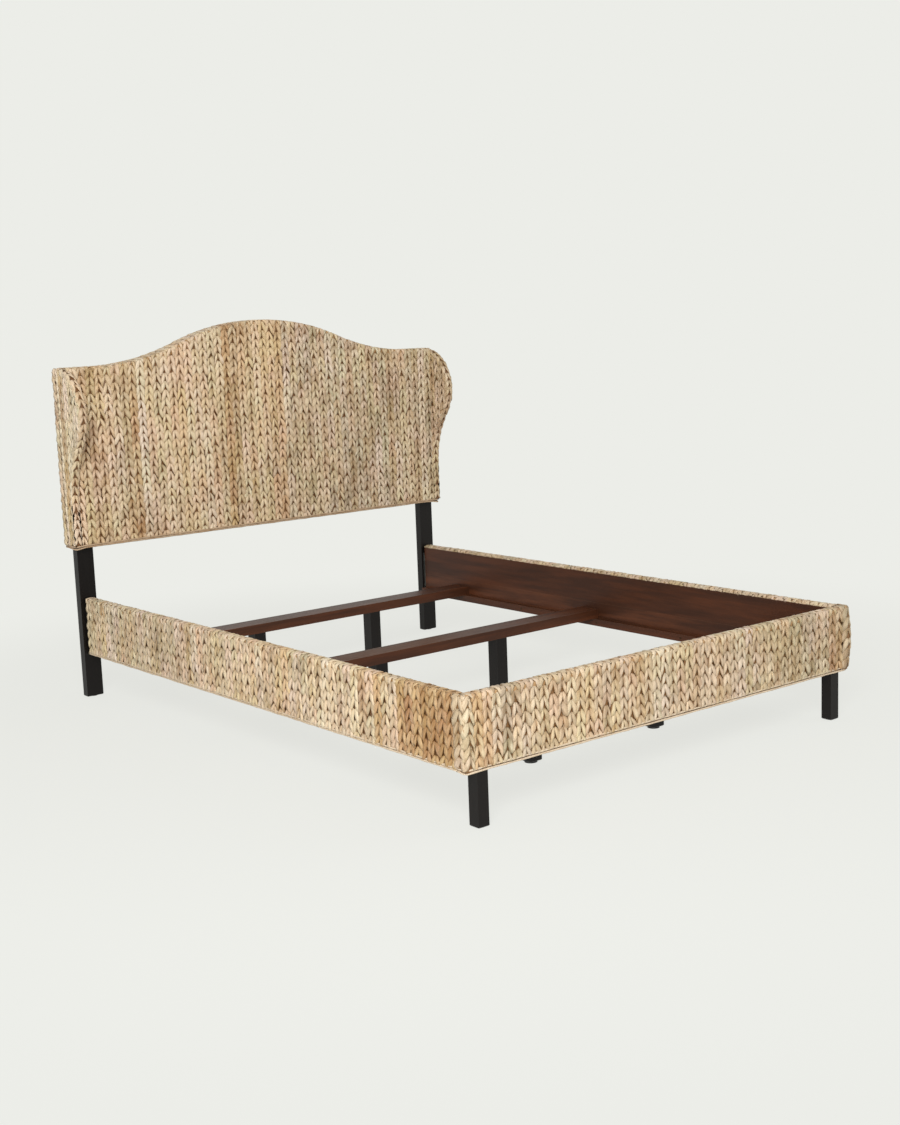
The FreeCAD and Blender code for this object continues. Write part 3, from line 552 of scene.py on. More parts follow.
def even_path(first, second, samples):
    """A flat path as even steps along it, its two coordinates there and those of its outward normals."""
    distance = np.concatenate([[0], np.cumsum(np.hypot(np.diff(first), np.diff(second)))])
    even = np.linspace(0, distance[-1], samples)
    first = np.interp(even, distance, first)
    second = np.interp(even, distance, second)
    first_step = np.gradient(first)
    second_step = np.gradient(second)
    size = np.hypot(first_step, second_step)
    return even, first, second, -second_step / size, first_step / size


def under_path(path, along, deep):
    """Points so deep under an even path at places along it, and the outward normals there."""
    even, *columns = path
    first, second, first_out, second_out = [np.interp(along, even, column) for column in columns]
    return first - first_out * deep, second - second_out * deep, first_out, second_out


def rail_surface(sign, weave):
    """A rail's outside and top, and how far a plait runs up and over it."""
    radius = weave.edge_round
    rise = RAIL_HIGH.z - RAIL_LOW.z - radius
    depth = RAIL_HIGH.x - RAIL_LOW.x - 2 * radius

    def surface(across, along):
        back, up, turn = over_edge(along, rise, radius, depth)
        points = stack(sign * (RAIL_HIGH.x - back), sign * across, RAIL_LOW.z + up)
        normals = stack(sign * np.cos(turn), np.zeros_like(turn), np.sin(turn))
        return points, normals

    return surface, rise + depth + radius * math.pi


def foot_surface(weave):
    """The footboard's front, ends and top, how far it runs round, and the plaits' ends on front and ends."""
    radius = weave.edge_round
    rise = FOOT_HIGH.z - FOOT_LOW.z - radius
    depth = FOOT_HIGH.y - FOOT_LOW.y - 2 * radius
    half = FOOT_HIGH.x - FOOT_CORNER
    end_face = FOOT_HIGH.y - FOOT_LOW.y - FOOT_CORNER

    def swell(side, far, along):
        """How far the weave stands out near the ends, most at half height."""
        near = np.clip((far - half + SWELL_RUN) / SWELL_RUN, 0, 1)
        least, most = [np.where(side < 0, left, right) for left, right in zip(SWELL_LEFT, SWELL_RIGHT)]
        upright = np.sin(np.clip(along / rise, 0, 1) * math.pi)
        return near ** 2 * (least + (most - least) * upright)

    def surface(across, along):
        side = np.sign(across)
        far = np.abs(across)
        reach, deep, angle = round_corner(far, half, FOOT_CORNER)
        back, up, turn = over_edge(along, rise, radius, depth)
        out_x = side * np.sin(angle)
        out_y = -np.cos(angle)
        back = back - swell(side, far, along)
        points = stack(side * reach - out_x * back, FOOT_LOW.y + deep - out_y * back, FOOT_LOW.z + up)
        normals = stack(out_x * np.cos(turn), out_y * np.cos(turn), np.sin(turn))
        return points, normals

    reach = half + FOOT_CORNER * QUARTER_TURN + end_face
    return surface, reach, rise + depth + radius * math.pi, rise + radius * QUARTER_TURN


def camel_top(x):
    """Height and slope of the headboard's top edge at places across."""
    shoulder = WING_HIGH.z
    rise = PANEL_HIGH.z - shoulder
    run = WING_LOW.x - SHOULDER_FLAT
    squares = run ** 2 + rise ** 2
    hollow = squares / (2 * rise) - CROWN_RADIUS
    turn = CROWN_RADIUS * 2 * rise * run / squares
    far = np.abs(x)
    dip = np.minimum(run - far, hollow)
    crown = np.sqrt(np.maximum(CROWN_RADIUS ** 2 - far ** 2, TINY))
    bowl = np.sqrt(np.maximum(hollow ** 2 - dip ** 2, TINY))
    height = np.where(far < turn, PANEL_HIGH.z - CROWN_RADIUS + crown, shoulder + hollow - bowl)
    slope = np.where(far < turn, -far / crown, -dip / bowl)
    height = np.where(far > run, shoulder, height)
    slope = np.where(far > run, 0.0, slope)
    return height, slope * np.sign(x)


def panel_surface(weave):
    """The headboard's front and top, and how far a plait runs on over the top past the edge's height."""
    radius = weave.edge_round
    depth = PANEL_HIGH.y - PANEL_LOW.y

    def surface(across, along):
        top, slope = camel_top(across)
        back, up, turn = over_edge(along, top - PANEL_LOW.z - radius, radius, depth)
        points = stack(across, PANEL_LOW.y + back, PANEL_LOW.z + up)
        lean = np.sin(turn) / np.sqrt(1 + slope ** 2)
        normals = stack(-lean * slope, -np.cos(turn), lean)
        return points, normals

    return surface, radius * QUARTER_TURN + depth - 2 * radius


def wing_front(z, inset=0.0):
    """Y of a wing's front edge at a height, or of a line so far in from that edge."""
    bottom_y = PANEL_LOW.y - PANEL_RECESS
    crest_y = WING_LOW.y
    reach = WING_BULGE_RADIUS + WING_HOLLOW_RADIUS
    level = reach - (bottom_y - crest_y)
    rise = math.sqrt(reach ** 2 - level ** 2)
    bulge_radius = WING_BULGE_RADIUS - inset
    hollow_radius = WING_HOLLOW_RADIUS + inset
    centre_z = WING_HIGH.z - WING_BULGE_RADIUS
    centre_y = crest_y + WING_BULGE_RADIUS
    turn_z = centre_z - bulge_radius * rise / reach
    low_z = centre_z - rise
    bulge = np.sqrt(np.maximum(bulge_radius ** 2 - (z - centre_z) ** 2, 0))
    hollow = np.sqrt(np.maximum(hollow_radius ** 2 - (z - low_z) ** 2, 0))
    hollow_y = bottom_y - WING_HOLLOW_RADIUS + hollow
    return np.where(z > turn_z, centre_y - bulge, np.where(z > low_z, hollow_y, bottom_y + inset))


def wing_edge_path():
    """The front edge of a wing and its top, in (y, z)."""
    heights = np.linspace(WING_LOW.z, WING_HIGH.z, CURVE_SAMPLES)
    # Closer together towards the top, where the front turns back
    heights = WING_HIGH.z - (WING_HIGH.z - heights) ** 2 / (WING_HIGH.z - WING_LOW.z)
    front = wing_front(heights)
    top = np.linspace(front[-1], WING_HIGH.y, TURN_SAMPLES)[1:]
    z = np.concatenate([heights, np.full(len(top), WING_HIGH.z)])
    return even_path(np.concatenate([front, top]), z, CURVE_SAMPLES)


def wing_edge_surface(sign):
    """The narrow front of a wing, turned over onto its two faces, and its length."""
    path = wing_edge_path()
    middle = sign * (WING_LOW.x + WING_HIGH.x) / 2
    half_flat = (WING_HIGH.x - WING_LOW.x) / 2 - WING_CORNER

    def surface(across, along):
        side = np.sign(across)
        reach, deep, turn = round_corner(np.abs(across), half_flat, WING_CORNER)
        y, z, out_y, out_z = under_path(path, along, deep)
        points = stack(middle + side * reach, y, z)
        normals = stack(side * np.sin(turn), out_y * np.cos(turn), out_z * np.cos(turn))
        return points, normals

    return surface, path[0][-1]


def wing_face_surface(x, facing, inset):
    """A flat side of a wing that faces +X or -X, up to a line so far in from its edge."""

    def surface(across, along):
        z = np.minimum(WING_LOW.z + along, WING_HIGH.z - inset)
        y = np.maximum(facing * across, wing_front(z, inset))
        points = stack(np.full_like(y, x), y, z)
        normals = stack(np.full_like(y, facing), np.zeros_like(y), np.zeros_like(y))
        return points, normals

    return surface


def wing_span(y, inset):
    """Lowest and highest place, from the wing's lower edge, inside the inset line at y, or nothing."""
    heights = np.linspace(WING_LOW.z, WING_HIGH.z - inset, CURVE_SAMPLES)
    inside = heights[wing_front(heights, inset) <= y]
    if len(inside) == 0:
        return None
    return inside[0] - WING_LOW.z, inside[-1] - WING_LOW.z


def hem_path(weave):
    """The back edge of the headboard, up its left side, over its top and down its right, in (x, z)."""
    side = WING_HIGH.x + weave.hem_proud
    angles = np.linspace(0, QUARTER_TURN, TURN_SAMPLES)
    turn_x = side - HEM_TURN + HEM_TURN * np.cos(angles)
    turn_z = WING_HIGH.z - HEM_TURN + HEM_TURN * np.sin(angles)
    across = np.linspace(HEM_TURN - side, side - HEM_TURN, CURVE_SAMPLES)[1:-1]
    x = np.concatenate([[-side], -turn_x, across, turn_x[::-1], [side]])
    z = np.concatenate([[WING_LOW.z], turn_z, camel_top(across)[0], turn_z[::-1], [WING_LOW.z]])
    return even_path(x, z, HEM_SAMPLES)


def hem_surface(weave):
    """The back edge of the headboard, turned from its sides and top onto the back, and its length."""
    path = hem_path(weave)
    back = WING_HIGH.y + weave.hem_back
    half_corner = HEM_CORNER * QUARTER_TURN / 2

    def surface(across, along):
        reach, deep, turn = round_corner(half_corner - across, 0, HEM_CORNER)
        x, z, out_x, out_z = under_path(path, along, deep)
        points = stack(x, back - HEM_CORNER + reach, z)
        normals = stack(out_x * np.cos(turn), np.sin(turn), out_z * np.cos(turn))
        return points, normals

    return surface, path[0][-1]


# Nodes

NOISE_MIDDLE = 0.5


def set_inputs(tree, node, values):
    """Give a node's inputs, by name or number, other nodes' outputs, colours or plain values."""
    for name, value in values.items():
        socket = node.inputs[name]
        if isinstance(value, bpy.types.NodeSocket):
            tree.links.new(value, socket)
        elif socket.type == "RGBA":
            socket.default_value = (*value, 1.0)
        else:
            socket.default_value = value


def add_node(tree, kind, values=None, **settings):
    """A node with its settings and what its inputs get."""
    node = tree.nodes.new("ShaderNode" + kind)
    for name, value in settings.items():
        setattr(node, name, value)
    set_inputs(tree, node, values or {})
    return node


def math_node(tree, operation, first, second, clamp=False):
    return add_node(tree, "Math", {0: first, 1: second}, operation=operation, use_clamp=clamp).outputs[0]


def swing(tree, value, gain):
    """A noise as a swing about zero."""
    return math_node(tree, "MULTIPLY", math_node(tree, "SUBTRACT", value, NOISE_MIDDLE), gain)


def above(tree, base, value, gain):
    """A value, so many times, on top of a base."""
    return math_node(tree, "ADD", math_node(tree, "MULTIPLY", value, gain), base)


def map_range(tree, value, source, target=(0.0, 1.0), **settings):
    """A value carried from one span to another."""
    spans = dict(zip(("From Min", "From Max", "To Min", "To Max"), (*source, *target)))
    return add_node(tree, "MapRange", {"Value": value, **spans}, **settings).outputs[0]


def mix_colours(tree, factor, first, second, blend="MIX"):
    """A colour mixed from two: inputs 6 and 7 and output 2 are the node's colours."""
    values = {0: factor, 6: first, 7: second}
    return add_node(tree, "Mix", values, data_type="RGBA", blend_type=blend).outputs[2]


def tinted(tree, colour, tint):
    return mix_colours(tree, 1.0, colour, tint, blend="MULTIPLY")


def noise_node(tree, place, scale, detail, roughness=0.5):
    values = {"Vector": place, "Scale": scale, "Detail": detail, "Roughness": roughness}
    return add_node(tree, "TexNoise", values).outputs["Fac"]


def bump_node(tree, height, strength, distance):
    values = {"Height": height, "Strength": strength, "Distance": distance}
    return add_node(tree, "Bump", values).outputs[0]


def mapped(tree, place, **values):
    """A place turned or stretched by a Mapping node."""
    return add_node(tree, "Mapping", {"Vector": place, **values}).outputs[0]


def attribute(tree, name):
    return add_node(tree, "Attribute", attribute_name=name).outputs["Fac"]


def object_place(tree):
    return add_node(tree, "TexCoord").outputs["Object"]


def fibre_place(tree):
    """Round and along a strand or a thread, from its own UV map."""
    return add_node(tree, "UVMap", uv_map="fibre").outputs[0]


def seen_ray(tree):
    """1 for rays that see the background: from the camera, or by a reflection or through glass."""
    path = add_node(tree, "LightPath").outputs
    gloss = math_node(tree, "ADD", path["Is Glossy Ray"], path["Is Transmission Ray"])
    return math_node(tree, "ADD", path["Is Camera Ray"], gloss, clamp=True)


def mix_shaders(tree, factor, lit, plain, output):
    """Put out a lit shader, and a plain one as far as the factor says."""
    mix = add_node(tree, "MixShader", {0: factor, 1: lit.outputs[0], 2: plain.outputs[0]})
    set_inputs(tree, output, {"Surface": mix.outputs[0]})


# Node groups

FIBRE_STRETCH = 1.3
FIBRE_OFFSET = 91.7
GRAIN_STRETCH = (0.07, 1.0, 1.0)
PORE_STRETCH = (0.03, 1.0, 1.0)
GRAIN_BEND = (0.05, 0.05, 0.05)
WEAR_GAIN = 6.0


def new_group(name, inputs, outputs):
    """An empty node group: (name, kind, default) for inputs, and names for outputs, which are values."""
    group = bpy.data.node_groups.new(name, "ShaderNodeTree")
    for socket_name, kind, default in inputs:
        socket = group.interface.new_socket(socket_name, in_out="INPUT", socket_type="NodeSocket" + kind)
        if default is not None:
            socket.default_value = default
    for socket_name in outputs:
        group.interface.new_socket(socket_name, in_out="OUTPUT", socket_type="NodeSocketFloat")
    entry = group.nodes.new("NodeGroupInput")
    leave = group.nodes.new("NodeGroupOutput")
    return group, entry.outputs, leave


@cache
def fibre_group():
    """Fine lines along a strand of dried fibre."""
    inputs = [("Place", "Vector", None), ("Lines", "Float", 16.0), ("Strand", "Float", 0.0)]
    group, entry, leave = new_group("Fibre lines", inputs, ["Line", "Blotch"])
    apart = add_node(group, "SeparateXYZ", {0: entry["Place"]}).outputs
    around = math_node(group, "MULTIPLY", entry["Lines"], apart["X"])
    along = math_node(group, "MULTIPLY", apart["Y"], FIBRE_STRETCH)
    offset = math_node(group, "MULTIPLY", entry["Strand"], FIBRE_OFFSET)
    place = add_node(group, "CombineXYZ", {"X": around, "Y": along, "Z": offset}).outputs[0]
    line = noise_node(group, place, scale=1.0, detail=3.0, roughness=0.6)
    blotch = noise_node(group, place, scale=0.32, detail=2.0)
    set_inputs(group, leave, {"Line": line, "Blotch": blotch})
    return group


@cache
def grain_group():
    """Wood grain along X of the place that comes in, as tone and fine pores."""
    inputs = [("Place", "Vector", None), ("Rings", "Float", 38.0), ("Pores", "Float", 420.0)]
    group, entry, leave = new_group("Wood grain", inputs, ["Grain", "Pore", "Patch"])
    place = mapped(group, entry["Place"], Scale=GRAIN_STRETCH)
    bend = add_node(group, "TexNoise", {"Vector": place, "Scale": 7.0, "Detail": 2.0}).outputs["Color"]
    bent = add_node(group, "VectorMath", {0: bend, 1: GRAIN_BEND, 2: place}, operation="MULTIPLY_ADD")
    grain = noise_node(group, bent.outputs[0], scale=entry["Rings"], detail=5.0, roughness=0.62)
    pores_at = mapped(group, entry["Place"], Scale=PORE_STRETCH)
    pore = noise_node(group, pores_at, scale=entry["Pores"], detail=1.0)
    patch = noise_node(group, place, scale=5.0, detail=3.0)
    set_inputs(group, leave, {"Grain": grain, "Pore": pore, "Patch": patch})
    return group


@cache
def wear_group():
    """A mask along the edges of a piece, broken up so that the wear is uneven."""
    inputs = [("Place", "Vector", None), ("Width", "Float", 0.002), ("Amount", "Float", 0.6)]
    group, entry, leave = new_group("Edge wear", inputs, ["Wear"])
    rounded = add_node(group, "Bevel", {"Radius": entry["Width"]}, samples=4).outputs[0]
    plain = add_node(group, "NewGeometry").outputs["True Normal"]
    alike = add_node(group, "VectorMath", {0: rounded, 1: plain}, operation="DOT_PRODUCT").outputs["Value"]
    edge = math_node(group, "MULTIPLY", math_node(group, "SUBTRACT", 1.0, alike), WEAR_GAIN, clamp=True)
    uneven = math_node(group, "MULTIPLY", edge, noise_node(group, entry["Place"], scale=60.0, detail=3.0))
    set_inputs(group, leave, {"Wear": math_node(group, "MULTIPLY", uneven, entry["Amount"])})
    return group


def place_group(tree, group, **values):
    return add_node(tree, "Group", values, node_tree=group).outputs


# Materials

# Depths below a plait's face between which strands go from painted shade to a painted crest highlight, and
# between which the painted crease shade begins, in metres
RELIEF_LIGHT_DEPTHS = (-0.0075, -0.0005)
CREASE_SHADE_DEPTHS = (-0.0092, -0.0064)

# How strongly goldness sets the lines of two strands apart
STRAND_APART = 3.1

GRAIN_TURNS = {"X": (0.0, 0.0, 0.0), "Y": (0.0, 0.0, -QUARTER_TURN), "Z": (0.0, QUARTER_TURN, 0.0)}
WEAR_WIDTH = 0.0022
PORE_DARKENING = 0.35
GRAIN_RELIEF = 0.6
SPECKLE_SHARE = 0.4


def new_material(name):
    material = bpy.data.materials.new(name)
    material.use_nodes = True
    tree = material.node_tree
    return material, tree, tree.nodes["Principled BSDF"]


@cache
def weave_material():
    """Dried plaited fibre: tones from plait to plait, fine lines along each strand, painted highlights on the
    crests, painted shade on the flanks and in the creases.
    """
    weave = bpy.context.scene.bed_weave
    material, tree, shader = new_material("plaited_fibre")
    tone, gold, tint, depth = [attribute(tree, name) for name in PLAIT_VALUES]
    strand = above(tree, tone, gold, gain=STRAND_APART)
    lines = place_group(tree, fibre_group(), Place=fibre_place(tree), Lines=9.0, Strand=strand)
    streak = swing(tree, lines["Line"], gain=1.5)
    shade = swing(tree, lines["Blotch"], gain=0.55)
    # Painted highlight on the strands' crests and painted shade on their flanks, from depth
    painted_relief_light = map_range(tree, depth, source=RELIEF_LIGHT_DEPTHS, target=(-0.30, 0.20))
    tone_with_relief_light = math_node(tree, "ADD", tone, painted_relief_light)
    lively = math_node(tree, "ADD", tone_with_relief_light, math_node(tree, "ADD", streak, shade), clamp=True)
    cool = mix_colours(tree, lively, weave.grey, weave.pale)
    warm = mix_colours(tree, lively, weave.rust, weave.golden)
    dried = mix_colours(tree, gold, cool, warm)
    colour = tinted(tree, dried, mix_colours(tree, tint, weave.leafy, weave.rosy))
    # Painted shade in the creases between strands, full at the deepest places
    outside_crease_shade = map_range(tree, depth, source=CREASE_SHADE_DEPTHS)
    values = {
        "Base Color": mix_colours(tree, outside_crease_shade, tinted(tree, colour, weave.crease_shade), colour),
        "Roughness": above(tree, 0.34, lines["Line"], gain=0.24),
        "Specular IOR Level": 0.45,
        "Normal": bump_node(tree, lines["Line"], strength=0.55, distance=0.0012),
    }
    set_inputs(tree, shader, values)
    return material


@cache
def cord_material():
    """Pale twisted fibre of the trim cords, with painted shade in the hollows of the twist."""
    trim = bpy.context.scene.bed_trim
    material, tree, shader = new_material("twisted_cord")
    place = fibre_place(tree)
    wave = {"Vector": place, "Scale": 1.0, "Distortion": 1.2, "Detail": 2.0}
    twist = add_node(tree, "TexWave", wave, bands_direction="DIAGONAL").outputs["Fac"]
    lines = place_group(tree, fibre_group(), Place=place, Lines=6.0)
    shade = math_node(tree, "ADD", attribute(tree, "shade"), 0.0, clamp=True)
    fibre = mix_colours(tree, shade, trim.browned, trim.colour)
    # Mask of the painted shade in the twist's hollows, broken up by blotches
    marks = math_node(tree, "MULTIPLY", twist, lines["Blotch"])
    values = {
        "Base Color": mix_colours(tree, marks, fibre, tinted(tree, fibre, trim.twist)),
        "Roughness": 0.7,
        "Normal": bump_node(tree, twist, strength=0.5, distance=0.0008),
    }
    set_inputs(tree, shader, values)
    return material


def wood_material(name, axis, base, dark, worn, wear, roughness, bump):
    """Stained or painted wood with its grain along one axis of the bed."""
    material, tree, shader = new_material(name)
    place = mapped(tree, object_place(tree), Rotation=GRAIN_TURNS[axis])
    grain = place_group(tree, grain_group(), Place=place)
    rub = place_group(tree, wear_group(), Place=place, Width=WEAR_WIDTH, Amount=wear)
    lines = map_range(tree, grain["Grain"], source=(0.38, 0.66))
    patch = map_range(tree, grain["Patch"], source=(0.3, 0.7), target=(0.78, 1.12))
    toned = mix_colours(tree, lines, dark, base)
    pored = mix_colours(tree, math_node(tree, "MULTIPLY", grain["Pore"], PORE_DARKENING), toned, dark)
    bright = add_node(tree, "HueSaturation", {"Color": pored, "Value": patch}).outputs[0]
    height = above(tree, grain["Pore"], lines, gain=GRAIN_RELIEF)
    values = {
        "Base Color": mix_colours(tree, rub["Wear"], bright, worn),
        "Roughness": math_node(tree, "ADD", swing(tree, grain["Pore"], gain=0.3), roughness),
        "Specular IOR Level": 0.2,
        "Normal": bump_node(tree, height, strength=bump, distance=0.0006),
    }
    set_inputs(tree, shader, values)
    return material


def steel_material(name, plate, spangle):
    """Plated steel with a faint spangle and scuffs."""
    material, tree, shader = new_material(name)
    place = object_place(tree)
    cells = add_node(tree, "TexVoronoi", {"Vector": place, "Scale": 160.0}).outputs["Distance"]
    scuff = noise_node(tree, place, scale=90.0, detail=4.0)
    values = {
        "Base Color": mix_colours(tree, cells, plate, tinted(tree, plate, spangle)),
        "Roughness": above(tree, 0.22, scuff, gain=0.3),
        "Metallic": 1.0,
    }
    set_inputs(tree, shader, values)
    return material


def plastic_material(legs):
    """Moulded plastic with a fine texture."""
    material, tree, shader = new_material("moulded_glide")
    speckle = noise_node(tree, object_place(tree), scale=900.0, detail=2.0)
    paler = math_node(tree, "MULTIPLY", speckle, SPECKLE_SHARE)
    values = {
        "Base Color": mix_colours(tree, paler, legs.plastic, legs.plastic_pale),
        "Roughness": 0.5,
        "Normal": bump_node(tree, speckle, strength=0.2, distance=0.0003),
    }
    set_inputs(tree, shader, values)
    return material


def paint(material, *names):
    """Give CAD nodes whose names start with any of these words a material."""
    for name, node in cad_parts.items():
        if name.startswith(names):
            node.data.materials.clear()
            node.data.materials.append(material)


# Cords

CORD_SIDES = 6
CORD_STEP = 0.012
CORD_LUMP = 0.3
CORD_LUMP_RATE = 2.3
CORD_SHADE = 0.35
CORD_INSET_SHARE = 1.5
SIDE_WAVE_SHARE = 2
FIBRE_REPEATS = 6

# Half the length of the unit cylinder that a thread starts as
UNIT_HALF = 0.5

# Rows of the noise that lifts a thread and shades it, and how far its neighbour's draw is away
LIFT_ROW = Vector((0, 9, 0))
SHADE_ROW = Vector((0, 17, 0))
NEXT_THREAD = 0.37

SAG_REACH = 0.03
UPPER_SAG_SHARE = 0.4
ROUTE_ARC_STEPS = 8
ROUTE_LEAD = (0.09, 0.06, 0.04, 0.02)
SEAM_THREADS = 6
PALE_SHADE = 1.0
HEAD_SHADE = 0.35
SEAM_SHADE = 0.45
FOOT_CORD_DRAW = 5
HEAD_CORD_DRAW = 6
SEAM_DRAW = 20


def rounded_route(route, radius):
    """Points along a route whose corners are rounded, with directions and distances."""
    places = [Vector(route[0])]
    for before, corner, after in zip(route, route[1:], route[2:]):
        corner = Vector(corner)
        to_before = (Vector(before) - corner).normalized()
        to_after = (Vector(after) - corner).normalized()
        start = corner + to_before * radius
        end = corner + to_after * radius
        room = min((Vector(before) - corner).length, (Vector(after) - corner).length) - radius
        leads = [distance for distance in ROUTE_LEAD if distance < room]
        places += [start + to_before * distance for distance in leads]
        for step in range(ROUTE_ARC_STEPS + 1):
            share = step / ROUTE_ARC_STEPS
            places.append(start.lerp(corner, share).lerp(corner.lerp(end, share), share))
        places += [end + to_after * distance for distance in reversed(leads)]
    places.append(Vector(route[-1]))
    points = np.array(places)
    steps = np.diff(points, axis=0)
    distances = np.concatenate([[0], np.cumsum(np.linalg.norm(steps, axis=1))])
    directions = np.concatenate([steps[:1], (steps[1:] + steps[:-1]) / 2, steps[-1:]])
    directions /= np.linalg.norm(directions, axis=1)[:, None]
    return points, directions, distances


def round_front(low, high, inset):
    """A level route from the back of the left side, round the front, to the back of the right side."""
    half = high.x - inset
    front = low.y + inset
    level = (low.z + high.z) / 2
    return [(-half, high.y, level), (-half, front, level), (half, front, level), (half, high.y, level)]


def new_cords():
    """An empty bmesh for threads, with their UV map and shade."""
    bm = bmesh.new()
    bm.loops.layers.uv.new("fibre")
    bm.verts.layers.float.new("shade")
    return bm


def lay_thread(bm, trim, radius, line, face, shift, draw, shade):
    """A thread along a line on a face, shifted across it, wandering a little."""
    points, directions, distances = line
    total = distances[-1]
    thread = new_cords()
    bmesh.ops.create_cone(
        thread,
        segments=CORD_SIDES,
        radius1=1.0,
        radius2=1.0,
        depth=2 * UNIT_HALF,
        cap_ends=True,
        cap_tris=False,
    )
    uprights = spanning(thread.edges, Z, UNIT_HALF)
    bmesh.ops.subdivide_edges(thread, edges=uprights, cuts=int(total / CORD_STEP), use_grid_fill=True)
    uv = thread.loops.layers.uv["fibre"]
    shades = thread.verts.layers.float["shade"]
    for part in thread.faces:
        part.smooth = len(part.verts) == 4
        for loop in part.loops:
            x, y, z = loop.vert.co
            along = (z + UNIT_HALF) * total
            loop[uv].uv = (math.atan2(y, x) / math.tau, along / trim.wave_length * FIBRE_REPEATS)
    for vert in thread.verts:
        x, y, z = vert.co
        along = (z + UNIT_HALF) * total
        centre = Vector([np.interp(along, distances, column) for column in points.T])
        ahead = Vector([np.interp(along, distances, column) for column in directions.T])
        across = ahead.normalized().cross(face)
        sway = Vector((along / trim.wave_length, draw, shift / radius))
        centre += across * (noise.noise(sway) * trim.wave * SIDE_WAVE_SHARE)
        centre += face * (shift + noise.noise(sway + LIFT_ROW) * trim.wave)
        lump = radius * (1 + CORD_LUMP * noise.noise(sway * CORD_LUMP_RATE))
        vert.co = centre + across * (x * lump) - face * (y * lump)
        vert[shades] = shade + CORD_SHADE * noise.noise(sway + SHADE_ROW)
    mesh = bpy.data.meshes.new("thread")
    thread.to_mesh(mesh)
    thread.free()
    bm.from_mesh(mesh)
    bpy.data.meshes.remove(mesh)


def add_cord(trim, name, replaced, route, draw, shade, corner=0.0, sag=0.0):
    """A piece of two threads, one above the other, along a level route whose rounded corners sag."""
    points, directions, distances = rounded_route(route, corner)
    low = np.zeros(len(points))
    for place in route[1:-1]:
        apart = np.linalg.norm(points - np.array(place), axis=1)
        low += sag * np.exp(-((apart / SAG_REACH) ** 2))
    bm = new_cords()
    up = Vector((0, 0, 1))
    for number, (shift, share) in enumerate(((trim.spacing / 2, UPPER_SAG_SHARE), (-trim.spacing / 2, 1.0))):
        line = (points - np.outer(low * share, up), directions, distances)
        lay_thread(bm, trim, trim.strand_radius, line, up, shift, draw + NEXT_THREAD * number, shade)
    new_piece(name, bm, cord_material(), [replaced])


# Operators

# Draws of the covers, counted from the seed
HEADBOARD_DRAW = 0
WING_DRAW = 11
RAIL_DRAW = 21
FOOT_DRAW = 31
HEM_DRAW = 41

# How much wider than the others the plaits along the wings' edges and the hem are
EDGE_PLAIT_WIDENING = 1.27
HEM_WIDENING = 1.2

# How much of a plait on a wing's face has to find room, as a share of its width past its middle
FACE_ROOM_SHARE = 0.35

# Stretches of a cover: from and to, as places across in metres, with changes of tone and goldness
# On rails and wings a place across is y, times -1 where the face looks left
HEADBOARD_STRETCHES = (
    # The whole headboard's tone is lifted: painted light, making up for the headboard standing further from
    # the key lamp than the footboard
    (-0.85, 0.85, 0.13, 0.06),
    (-0.82, -0.78, 0.16, 0.0),
    # Brown plaits beside the left wing: partly their own browner colour, partly painted shade where the wing
    # shades the panel
    (-0.78, -0.69, -0.2, 0.22),
    (-0.61, -0.575, -0.14, 0.25),
    (-0.575, -0.54, -0.32, 0.25),
    (-0.54, -0.51, 0.18, -0.25),
    (-0.44, -0.24, 0.14, 0.0),
    (-0.20, -0.13, -0.22, 0.25),
    (-0.065, -0.03, 0.2, -0.1),
    (0.0, 0.10, -0.10, 0.12),
    (0.10, 0.82, -0.17, -0.20),
)
FOOT_STRETCHES = (
    # The whole footboard's tone is lowered: painted shade, making up for the footboard standing nearer to the
    # key lamp
    (-0.95, 0.95, -0.07, 0.0),
    (-0.90, -0.79, -0.14, 0.0),
    (-0.79, -0.71, 0.02, 0.3),
    (-0.70, -0.58, 0.06, -0.2),
    (-0.44, -0.34, 0.14, 0.0),
    (-0.10, 0.0, 0.16, -0.34),
    (0.24, 0.31, 0.14, -0.25),
    (0.50, 0.90, -0.21, -0.05),
    (0.72, 0.90, -0.08, 0.0),
)
RAIL_STRETCHES = {
    "left": (
        (0.80, 1.08, -0.33, 0.55),
        (-1.08, 0.80, 0.08, 0.0),
        (0.70, 0.73, -0.12, 0.3),
        (0.38, 0.56, 0.2, -0.05),
        (-1.08, -0.36, -0.06, -0.15),
    ),
    # The whole right rail's tone is lowered: painted shade on the far rail
    "right": ((-1.2, 1.2, -0.10, -0.1),),
}
WING_STRETCHES = {
    "left": ((-1.2, -0.8, 0.27, -0.45), (-1.076, -1.042, -0.2, 0.6), (-0.1, 0.1, 0.12, 0.1)),
    # On the right wing the edge plait, about place 0, is darker: painted shade on that edge
    "right": ((-1.2, -0.8, -0.15, 0.0), (-0.1, 0.1, -0.14, 0.15)),
}


class WeaveHeadboard(bpy.types.Operator):
    """Plait the cover of the headboard's panel, turned over the curved top, and the hem at its back"""

    bl_idname = "bed.weave_headboard"
    bl_label = "Headboard weave"

    def execute(self, context):
        weave = context.scene.bed_weave
        surface, over_top = panel_surface(weave)
        reach = WING_LOW.x + weave.corner_overlap
        places, step = even_places(-reach, reach, weave.plait_width)
        weaver = Weaver(weave, weave.head_stitch, HEADBOARD_DRAW, HEADBOARD_STRETCHES, step)
        for middle in places:
            height = float(camel_top(np.array([middle]))[0][0]) - PANEL_LOW.z
            weaver.lay(surface, middle, -weave.cord_overlap, height + over_top, edge_at=height)
        weaver.finish("headboard_weave", ["headboard_cover"])
        hem, length = hem_surface(weave)
        weaver = Weaver(weave, weave.head_stitch, HEM_DRAW)
        weaver.lay(hem, 0.0, 0.0, length, HEM_WIDENING, bent=True)
        weaver.finish("headboard_hem", [])
        return {"FINISHED"}


